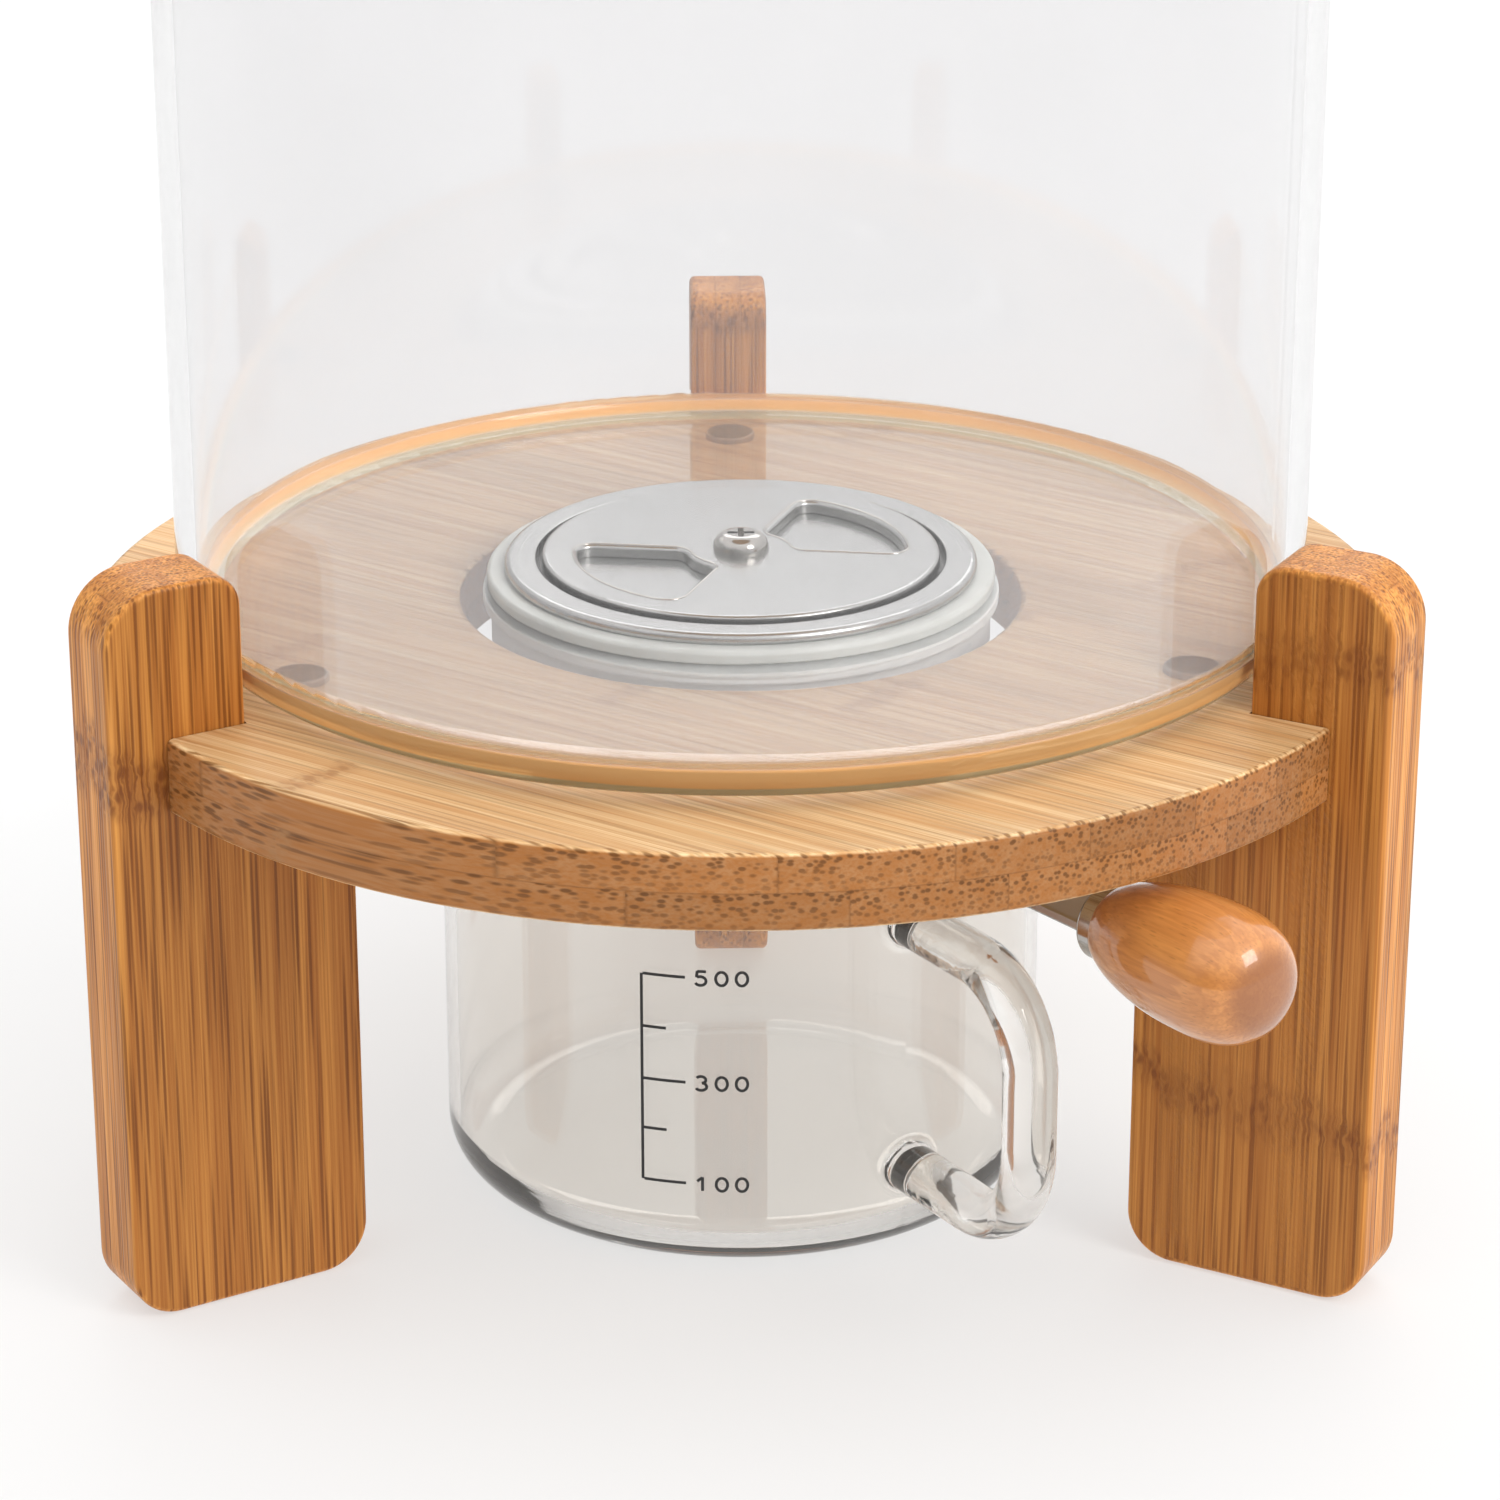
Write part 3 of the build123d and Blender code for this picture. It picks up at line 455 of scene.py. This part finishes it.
MOTTLE_SCALE = 120.0
MOTTLE_EDGE = (0.35, 0.70)
DUST_EDGE = (0.62, 0.80)
DUST_STRENGTH = 0.25
SMOOTHER = 0.06
ROUGHER = 0.08
SOFT_RELIEF = 0.05 * MM
SOFT_LIGHT_DEPTH = 1.2 * MM


def soft(name, colour, shadow_colour, roughness, grain_size, bump, subsurface=0.0):
    """Silicone or moulded plastic: slight mottling and a fine grain."""
    g = Graph(name)
    mottle = g.noise(g.position, scale=MOTTLE_SCALE, detail=3.0)
    grain = g.noise(g.position, scale=1.0 / grain_size, detail=2.0)
    tint = g.mix(g.step(mottle, *MOTTLE_EDGE), colour, shadow_colour)
    tint = g.mix(g.times(g.step(grain, *DUST_EDGE), DUST_STRENGTH), tint, shadow_colour)
    g.principled(
        Base_Color=tint,
        Roughness=g.step(grain, 0.2, 0.8, roughness - SMOOTHER, roughness + ROUGHER),
        Normal=g.bump(grain, bump, SOFT_RELIEF),
        Subsurface_Weight=subsurface,
        Subsurface_Radius=(1.0, 1.0, 1.0),
        Subsurface_Scale=SOFT_LIGHT_DEPTH,
    )
    return g.material


GLASS_IOR = 1.47
CLEARNESS = 0.97
SWELL_SCALE = 26.0
SWELL_TINT = 0.985
SWELL_RELIEF = 0.6 * MM
SHADOW_CLEARNESS = 0.98
# Painted reflection and glow on the vessel's rounded foot
FOOT_PAINTED_EDGE_GREEN = (0.56, 0.55, 0.38)
FOOT_PAINTED_WOOD_AMBER = (0.95, 0.56, 0.23)
AMBER_BAND = 4.0 * MM
AMBER_FADE = 0.3 * MM
FOOT_SIDE_FADE = 0.5 * MM
FOOT_TOP_FADE_BELOW = 0.4 * MM
FOOT_TOP_FADE_ABOVE = 0.5 * MM


def glass(name, tint, ripple, foot=None):
    """Clear glass that lets the lamps' light through, with the faint ripple of blown glass.

    foot is (radius, height, share). Outside that radius and below that height, the rounded foot gets painted
    light: a green-grey standing for the light caught in the thick edge, and along its top a painted amber
    reflection of the wood under it.
    """
    g = Graph(name)
    swell = g.noise(g.position, scale=SWELL_SCALE, detail=1.0)
    colour = g.mix(g.step(swell, 0.3, 0.7), tint, scaled(SWELL_TINT, tint))
    clearness = CLEARNESS
    if foot:
        foot_radius, foot_top, foot_share = foot
        height = g.dot(g.position, Z_AXIS)
        outside = g.step(g.axis_radius(), foot_radius - FOOT_SIDE_FADE, foot_radius + FOOT_SIDE_FADE)
        below = g.step(height, foot_top - FOOT_TOP_FADE_BELOW, foot_top + FOOT_TOP_FADE_ABOVE, 1.0, 0.0)
        on_foot = g.times(outside, below)
        amber_start = foot_top - AMBER_BAND
        amber = g.step(height, amber_start - AMBER_FADE, amber_start + AMBER_FADE)
        # Painted reflection: the foot takes the amber of the wood under it and the green-grey of its thick
        # edge, and lets less light through
        colour = g.mix(on_foot, colour, g.mix(amber, FOOT_PAINTED_EDGE_GREEN, FOOT_PAINTED_WOOD_AMBER))
        clearness = g.step(on_foot, 0.0, 1.0, CLEARNESS, 1.0 - foot_share)
    body = g.principled(
        Base_Color=colour,
        Roughness=0.0,
        Transmission_Weight=clearness,
        IOR=GLASS_IOR,
        Normal=g.bump(swell, ripple, SWELL_RELIEF),
    )
    clear = g.tree.nodes.new("ShaderNodeBsdfTransparent")
    g.feed(clear.inputs["Color"], (SHADOW_CLEARNESS, SHADOW_CLEARNESS, SHADOW_CLEARNESS))
    path = g.tree.nodes.new("ShaderNodeLightPath")
    choice = g.tree.nodes.new("ShaderNodeMixShader")
    g.feed(choice.inputs[0], path.outputs["Is Shadow Ray"])
    g.feed(choice.inputs[1], body.outputs[0])
    g.feed(choice.inputs[2], clear.outputs[0])
    g.feed(g.output.inputs["Surface"], choice.outputs[0])
    return g.material


INK_BLACK = (0.012, 0.012, 0.013)
INK_GREY = (0.035, 0.034, 0.034)
INK_SPECKLE_SCALE = 2400.0


def printed_ink(name):
    """Dark screen-printing ink, slightly uneven."""
    g = Graph(name)
    speckle = g.noise(g.position, scale=INK_SPECKLE_SCALE, detail=2.0)
    g.principled(
        Base_Color=g.mix(g.step(speckle, 0.35, 0.75), INK_BLACK, INK_GREY),
        Roughness=g.step(speckle, 0.3, 0.7, 0.42, 0.58),
    )
    return g.material


# --------------------------------------------------------------------------- which node wears what

BOARD_GRAIN = -36.0  # azimuth
BOARD_TOP = highest("stand_board")[2]
BOARD_KNOTS = ((-20 * MM, 0.15, 4 * MM),)
LID_TOP = highest("lid_board")[2]
LID_KNOTS = ((35 * MM, 0.1, 4 * MM),)
LEG_AZIMUTHS = {"leg_rear": 90.0, "leg_left": 210.0, "leg_right": 330.0}
# Height of each knot band, how it climbs outwards, and half its height
LEG_KNOTS = {
    "leg_rear": ((126 * MM, 0.10, 4 * MM), (40 * MM, 0.10, 6 * MM)),
    "leg_left": ((121 * MM, -0.12, 6 * MM), (84 * MM, 0.20, 6 * MM)),
    "leg_right": ((108 * MM, 0.12, 5 * MM), (45 * MM, -0.10, 6 * MM)),
}
VESSEL_TINT = (0.895, 0.892, 0.897)
VESSEL_RADIUS = highest("glass_cylinder")[0]
VESSEL_BOTTOM = lowest("glass_cylinder")[2]
FOOT_DEPTH = 6 * MM
FOOT_HEIGHT = 6.9 * MM
FOOT_SHARE = 0.55
CUP_TINT = (0.925, 0.905, 0.875)
ROTOR_TOP = highest("valve_rotor")[2]
# Where the painted shade of the groove round the rotor lies
GROOVE_RADIUS = highest("valve_rotor")[0] + 0.5 * MM
GROOVE_HALF_WIDTH = 0.6 * MM


def azimuth_of(node):
    """Azimuth of the middle of a CAD node, in degrees from +X."""
    low, high = lowest(node), highest(node)
    return math.degrees(math.atan2(low[1] + high[1], low[0] + high[0]))


def board_bamboo(name, top, knots):
    return bamboo(
        name,
        grain=flat_direction(BOARD_GRAIN),
        across=flat_direction(BOARD_GRAIN + 90.0),
        through=Z_AXIS,
        strip=21 * MM,
        ply=7 * MM,
        ply_start=top,
        cell=1.0 * MM,
        knots=knots,
        knot_spread=190 * MM,
        pale=(0.98, 0.73, 0.41),
        deep=(0.60, 0.27, 0.075),
        knot_colour=(0.40, 0.19, 0.07),
        contrast=1.2,
        # Painted shade for the board's and lid's sides
        painted_shade_rim_colour=(0.345, 0.112, 0.017),
    )


def leg_bamboo(node):
    azimuth = LEG_AZIMUTHS[node]
    return bamboo(
        node + "_bamboo",
        grain=Z_AXIS,
        across=flat_direction(azimuth),
        through=flat_direction(azimuth + 90.0),
        strip=23 * MM,
        ply=5.35 * MM,
        ply_start=-8 * MM,
        cell=0.82 * MM,
        knots=LEG_KNOTS[node],
        knot_spread=9 * MM,
        pale=(0.86, 0.375, 0.08),
        deep=(0.35, 0.09, 0.010),
        knot_colour=(0.20, 0.055, 0.010),
    )


# The look of each material slot
looks = {
    "board_bamboo": board_bamboo("board_bamboo_look", BOARD_TOP, BOARD_KNOTS),
    "lid_bamboo": board_bamboo("lid_bamboo_look", LID_TOP, LID_KNOTS),
    "knob_wood": turned_wood("knob_wood_look", grain=flat_direction(azimuth_of("lever_knob"))),
    "vessel_glass": glass(
        "vessel_glass_look",
        tint=VESSEL_TINT,
        ripple=0.02,
        foot=(VESSEL_RADIUS - FOOT_DEPTH, VESSEL_BOTTOM + FOOT_HEIGHT, FOOT_SHARE),
    ),
    "cup_glass": glass("cup_glass_look", tint=CUP_TINT, ripple=0.03),
    "satin_steel": steel(
        "satin_steel_look",
        colour=(0.53, 0.53, 0.52),
        roughness=0.24,
        relief=0.06,
        groove=(GROOVE_RADIUS, GROOVE_HALF_WIDTH, ROTOR_TOP),
    ),
    "polished_steel": steel("polished_steel_look", colour=(0.56, 0.54, 0.51), roughness=0.12, relief=0.04),
    "zinc_steel": steel("zinc_steel_look", colour=(0.60, 0.60, 0.56), roughness=0.34, relief=0.10),
    # Painted light: this silicone is paler than it is, making up for the shade where the lower gasket sits
    # under the glass floor
    "grey_silicone": soft(
        "grey_silicone_painted_light_look",
        colour=(0.88, 0.90, 0.88),
        shadow_colour=(0.84, 0.86, 0.84),
        roughness=0.42,
        grain_size=0.5 * MM,
        bump=0.10,
        subsurface=0.15,
    ),
    "pad_silicone": soft(
        "pad_silicone_look",
        colour=(0.29, 0.19, 0.11),
        shadow_colour=(0.23, 0.15, 0.085),
        roughness=0.40,
        grain_size=0.4 * MM,
        bump=0.12,
        subsurface=0.1,
    ),
    # Painted light: the nut is paler than it is, making up for the shade it sits in beside the lower gasket
    "nut_plastic": soft(
        "nut_plastic_painted_light_look",
        colour=(0.80, 0.81, 0.79),
        shadow_colour=(0.74, 0.75, 0.73),
        roughness=0.46,
        grain_size=0.35 * MM,
        bump=0.18,
    ),
    "bush_plastic": soft(
        "bush_plastic_look",
        colour=(0.78, 0.77, 0.73),
        shadow_colour=(0.73, 0.72, 0.68),
        roughness=0.40,
        grain_size=0.35 * MM,
        bump=0.12,
    ),
    "clear_silicone": soft(
        "clear_silicone_look",
        colour=(0.72, 0.72, 0.68),
        shadow_colour=(0.66, 0.66, 0.62),
        roughness=0.36,
        grain_size=0.5 * MM,
        bump=0.08,
        subsurface=0.3,
    ),
}
# Nodes with a look of their own
own_looks = {node: leg_bamboo(node) for node in LEG_AZIMUTHS}
# The upper gasket keeps a darker copy of the same silicone, while the lower gasket's copy is painted paler
# for its shade
own_looks["gasket_upper"] = soft(
    "gasket_upper_look",
    colour=(0.60, 0.62, 0.60),
    shadow_colour=(0.55, 0.57, 0.55),
    roughness=0.42,
    grain_size=0.5 * MM,
    bump=0.10,
    subsurface=0.15,
)
own_looks["lid_knob"] = turned_wood("lid_knob_look", grain=Z_AXIS)

for subpart in frame["record"]["subparts"]:
    node = subpart["node"]
    look = own_looks[node] if node in own_looks else looks[subpart["material_slot"]]
    frame["nodes"][node].material_slots[0].material = look

# --------------------------------------------------------------------------- the cup's printed scale

CUP_RADIUS = 57 * MM
INK_LIFT = 0.08 * MM
INK_THICKNESS = 0.06 * MM
LINE_WIDTH = 0.55 * MM
SCALE_AZIMUTH = -109.9  # of the scale's upright line
SCALE_HEIGHTS = {500: 60.0 * MM, 400: 49.5 * MM, 300: 39.0 * MM, 200: 29.0 * MM, 100: 18.5 * MM}
LABELLED = (100, 300, 500)
LONG_TICK = 8.2 * MM
SHORT_TICK = 4.6 * MM
DIGIT_START = 9.9 * MM
DIGIT_WIDTH = 2.5 * MM
DIGIT_HEIGHT = 2.9 * MM
DIGIT_STEP = 3.7 * MM


def on_cup(across, height, lift):
    """Point on the cup's wall: across is measured along the wall from the scale's upright line."""
    angle = math.radians(SCALE_AZIMUTH) + across / CUP_RADIUS
    radius = CUP_RADIUS + lift
    return Vector((radius * math.cos(angle), radius * math.sin(angle), height))


def ink_stroke(mesh, points, width):
    """Flat ribbon of ink along (across, height) points, laid on the cup's wall with a real thickness."""
    pairs = []
    for index, point in enumerate(points):
        before = Vector(points[max(index - 1, 0)])
        after = Vector(points[min(index + 1, len(points) - 1)])
        direction = (after - before).normalized()
        normal = Vector((-direction.y, direction.x)) * (width / 2)
        here = Vector(point)
        corners = []
        for edge in (here - normal, here + normal):
            for lift in (INK_LIFT, INK_LIFT + INK_THICKNESS):
                corners.append(mesh.verts.new(on_cup(edge.x, edge.y, lift)))
        pairs.append(corners)
    for first, second in zip(pairs, pairs[1:]):
        for a, b in ((0, 1), (1, 3), (3, 2), (2, 0)):
            mesh.faces.new((first[a], first[b], second[b], second[a]))
    for corners in (pairs[0], pairs[-1]):
        mesh.faces.new((corners[0], corners[1], corners[3], corners[2]))


def straight(start, end, steps=8):
    """Points along a straight stroke."""
    return [
        (start[0] + (end[0] - start[0]) * i / steps, start[1] + (end[1] - start[1]) * i / steps)
        for i in range(steps + 1)
    ]


def arc(centre, radii, first, last, steps=20):
    """Points along an ellipse's arc between two angles, in degrees."""
    points = []
    for i in range(steps + 1):
        angle = math.radians(first + (last - first) * i / steps)
        points.append((centre[0] + radii[0] * math.cos(angle), centre[1] + radii[1] * math.sin(angle)))
    return points


def digit_strokes(digit):
    """Strokes of one digit, in a box one wide and one high."""
    if digit == "0":
        return [arc((0.5, 0.5), (0.42, 0.46), 90, 450, steps=28)]
    if digit == "1":
        return [straight((0.15, 0.68), (0.55, 0.96)), straight((0.55, 0.98), (0.55, 0.02))]
    if digit == "3":
        return [
            arc((0.46, 0.73), (0.36, 0.24), 150, -80),
            arc((0.46, 0.27), (0.42, 0.27), 80, -150),
        ]
    if digit == "5":
        return [
            straight((0.86, 0.96), (0.22, 0.96)),
            straight((0.22, 0.98), (0.16, 0.55)),
            arc((0.44, 0.31), (0.42, 0.30), 125, -150),
        ]
    raise ValueError(digit)


def printed_scale():
    """The upright line, a tick for each 100 ml, and a number at every other tick."""
    mesh = bmesh.new()
    ink_stroke(mesh, straight((0.0, SCALE_HEIGHTS[100]), (0.0, SCALE_HEIGHTS[500]), steps=16), LINE_WIDTH)
    for value, height in SCALE_HEIGHTS.items():
        labelled = value in LABELLED
        length = LONG_TICK if labelled else SHORT_TICK
        ink_stroke(mesh, straight((LINE_WIDTH / 2, height), (length, height)), LINE_WIDTH)
        if not labelled:
            continue
        for place, digit in enumerate(str(value)):
            left = DIGIT_START + place * DIGIT_STEP
            for stroke in digit_strokes(digit):
                points = [
                    (left + x * DIGIT_WIDTH, height - DIGIT_HEIGHT / 2 + y * DIGIT_HEIGHT) for x, y in stroke
                ]
                ink_stroke(mesh, points, LINE_WIDTH)
    bmesh.ops.recalc_face_normals(mesh, faces=mesh.faces)
    data = bpy.data.meshes.new("cup_scale_print")
    mesh.to_mesh(data)
    mesh.free()
    data.materials.append(printed_ink("scale_ink"))
    return add_to_scene("cup_scale_print", data)


scale_print = printed_scale()
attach(scale_print, "cup")

# --------------------------------------------------------------------------- rolled lips of the rotor's fans

LIP_RADIUS = 0.32 * MM
LIP_SINK = 0.12 * MM
LIP_SIDES = 8
SAME_POINT = 0.001 * MM
FLAT_NORMAL = 0.9999
TOP_TOLERANCE = 0.01 * MM
FAN_REACH = (8 * MM, 33 * MM)  # the fans lie between these distances from the axis
ROUNDEST = 0.9  # the least over the greatest distance, above which a loop is a circle about the axis


def fan_edges():
    """The rotor's two fan outlines: loops of points where its flat top ends, found in the CAD mesh."""
    mesh = bmesh.new()
    mesh.from_mesh(frame["nodes"]["valve_rotor"].data)
    bmesh.ops.remove_doubles(mesh, verts=mesh.verts, dist=SAME_POINT)
    mesh.normal_update()
    onward_points = {}
    for edge in mesh.edges:
        flat = [face.normal.z > FLAT_NORMAL for face in edge.link_faces]
        below_top = any(vertex.co.z < ROTOR_TOP - TOP_TOLERANCE for vertex in edge.verts)
        if sorted(flat) != [False, True] or below_top:
            continue
        first, second = (tuple(vertex.co) for vertex in edge.verts)
        onward_points.setdefault(first, []).append(second)
        onward_points.setdefault(second, []).append(first)
    mesh.free()
    loops = []
    while onward_points:
        loop = [min(onward_points)]
        while True:
            onward = [point for point in onward_points.get(loop[-1], []) if point not in loop]
            if not onward:
                break
            loop.append(onward[0])
        for point in loop:
            onward_points.pop(point, None)
        reach = [math.hypot(point[0], point[1]) for point in loop]
        is_circle = min(reach) >= ROUNDEST * max(reach)
        if not is_circle and min(reach) > FAN_REACH[0] and max(reach) < FAN_REACH[1]:
            loops.append([Vector(point) for point in loop])
    return loops


def rolled_lips():
    """A round bead along each fan's edge, partly sunk into the rotor."""
    mesh = bmesh.new()
    for loop in fan_edges():
        rings = []
        for index, point in enumerate(loop):
            onward = (loop[(index + 1) % len(loop)] - loop[index - 1]).normalized()
            outward = onward.cross(Vector(Z_AXIS))
            ring = []
            for side in range(LIP_SIDES):
                angle = 2 * math.pi * side / LIP_SIDES
                offset = outward * math.cos(angle) + Vector(Z_AXIS) * math.sin(angle)
                ring.append(mesh.verts.new(point + offset * LIP_RADIUS - Vector((0, 0, LIP_SINK))))
            rings.append(ring)
        for first, second in zip(rings, rings[1:] + rings[:1]):
            for side in range(LIP_SIDES):
                after = (side + 1) % LIP_SIDES
                mesh.faces.new((first[side], first[after], second[after], second[side]))
    bmesh.ops.recalc_face_normals(mesh, faces=mesh.faces)
    for face in mesh.faces:
        face.smooth = True
    data = bpy.data.meshes.new("fan_lips")
    mesh.to_mesh(data)
    mesh.free()
    data.materials.append(looks["polished_steel"])
    return add_to_scene("fan_lips", data)


lips = rolled_lips()
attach(lips, "valve")

# --------------------------------------------------------------------------- floor, light and camera

WHITE = (1.0, 1.0, 1.0)
FLOOR_HALF = 6.0
FLOOR_GLOW = 0.56  # lit from below like a photographer's table, so that shadows stay faint
FLOOR_GAP = 0.3 * MM  # keeps the floor clear of the cup's flat base
FLOOR_GREY = (0.335, 0.335, 0.335)
FLOOR_CLOUD = (0.33, 0.33, 0.33)
FLOOR_CLOUD_SCALE = 3.0


def pale_floor():
    data = bpy.data.meshes.new("studio_floor")
    corners = [(-1, -1), (1, -1), (1, 1), (-1, 1)]
    data.from_pydata([(x * FLOOR_HALF, y * FLOOR_HALF, -FLOOR_GAP) for x, y in corners], [], [(0, 1, 2, 3)])
    g = Graph("studio_floor_look")
    cloud = g.noise(g.position, scale=FLOOR_CLOUD_SCALE, detail=2.0)
    g.principled(
        Base_Color=g.mix(g.step(cloud, 0.3, 0.7), FLOOR_GREY, FLOOR_CLOUD),
        Roughness=0.75,
        Specular_IOR_Level=0.2,
        Emission_Color=WHITE,
        Emission_Strength=FLOOR_GLOW,
    )
    g.material.cycles.emission_sampling = "NONE"
    data.materials.append(g.material)
    return add_to_scene("studio_floor", data)


floor = pale_floor()

AIM = Vector((0.0, 0.0, 0.13))
# Place, width, height, power in watts and colour of each soft box
SOFT_BOXES = {
    "key_light": ((1.3, -1.2, 1.5), 0.9, 0.9, 19.0, (1.0, 0.985, 0.96)),
    "fill_light": ((-1.6, -0.9, 1.0), 0.8, 1.2, 0.6, (0.97, 0.985, 1.0)),
    "back_light": ((0.2, 1.8, 1.4), 1.6, 0.8, 8.0, WHITE),
}
for name, (place, width, height, power, colour) in SOFT_BOXES.items():
    lamp = bpy.data.lights.new(name, "AREA")
    lamp.shape = "RECTANGLE"
    lamp.size = width
    lamp.size_y = height
    lamp.energy = power
    lamp.color = colour
    soft_box = add_to_scene(name, lamp)
    soft_box.location = place
    soft_box.rotation_euler = (AIM - Vector(place)).to_track_quat("-Z", "Y").to_euler()

# Brightness of the tent round the object, whose left side is darker than its right
FRONT_LEFT_GLOW = 0.036
FRONT_RIGHT_GLOW = 0.81
BACK_LEFT_GLOW = 0.616
BACK_RIGHT_GLOW = 1.12
ZENITH_GLOW = 1.45
# Sines of the heights between which the horizon's glow turns into the zenith's
HORIZON_TOP = 0.15
ZENITH_START = 0.95


def studio_world():
    """Soft tent: bright behind and overhead, darker on the camera's side of the object."""
    world = bpy.data.worlds.new("studio")
    world.use_nodes = True
    tree = world.node_tree
    direction = tree.nodes.new("ShaderNodeTexCoord").outputs["Generated"]
    parts = tree.nodes.new("ShaderNodeSeparateXYZ")
    tree.links.new(direction, parts.inputs[0])

    def ramp(axis, low, high, glow_low, glow_high):
        """Smooth change of glow from low to high along one axis of the direction."""
        node = tree.nodes.new("ShaderNodeMapRange")
        node.interpolation_type = "SMOOTHSTEP"
        tree.links.new(parts.outputs[axis], node.inputs["Value"])
        node.inputs["From Min"].default_value = low
        node.inputs["From Max"].default_value = high
        for name, value in (("To Min", glow_low), ("To Max", glow_high)):
            if isinstance(value, bpy.types.NodeSocket):
                tree.links.new(value, node.inputs[name])
            else:
                node.inputs[name].default_value = value
        return node.outputs["Result"]

    left = ramp("Y", -1.0, 1.0, FRONT_LEFT_GLOW, BACK_LEFT_GLOW)
    right = ramp("Y", -1.0, 1.0, FRONT_RIGHT_GLOW, BACK_RIGHT_GLOW)
    horizon = ramp("X", -1.0, 1.0, left, right)
    glow = ramp("Z", HORIZON_TOP, ZENITH_START, horizon, ZENITH_GLOW)
    background = tree.nodes["Background"]
    tree.links.new(glow, background.inputs["Strength"])
    background.inputs["Color"].default_value = (*WHITE, 1.0)
    return world


bpy.context.scene.world = studio_world()

CAMERA_PLACE = (-21.2 * MM, -874.7 * MM, 430.1 * MM)
CAMERA_PITCH = 21.7  # degrees below the horizon
CAMERA_YAW = -1.5
CAMERA_LENS = 119.0
SENSOR_WIDTH = 36.0
CLIP_START = 10 * MM

camera_data = bpy.data.cameras.new("photo_camera")
camera_data.lens = CAMERA_LENS
camera_data.sensor_width = SENSOR_WIDTH
camera_data.clip_start = CLIP_START
camera = add_to_scene("photo_camera", camera_data)
camera.location = CAMERA_PLACE
camera.rotation_euler = (math.radians(90.0 - CAMERA_PITCH), 0.0, math.radians(CAMERA_YAW))

bpy.context.scene.camera = camera
bpy.context.scene.view_settings.view_transform = "Standard"
# Thick glass needs long light paths
bpy.context.scene.cycles.max_bounces = 40
bpy.context.scene.cycles.transmission_bounces = 40
bpy.context.scene.cycles.transparent_max_bounces = 20
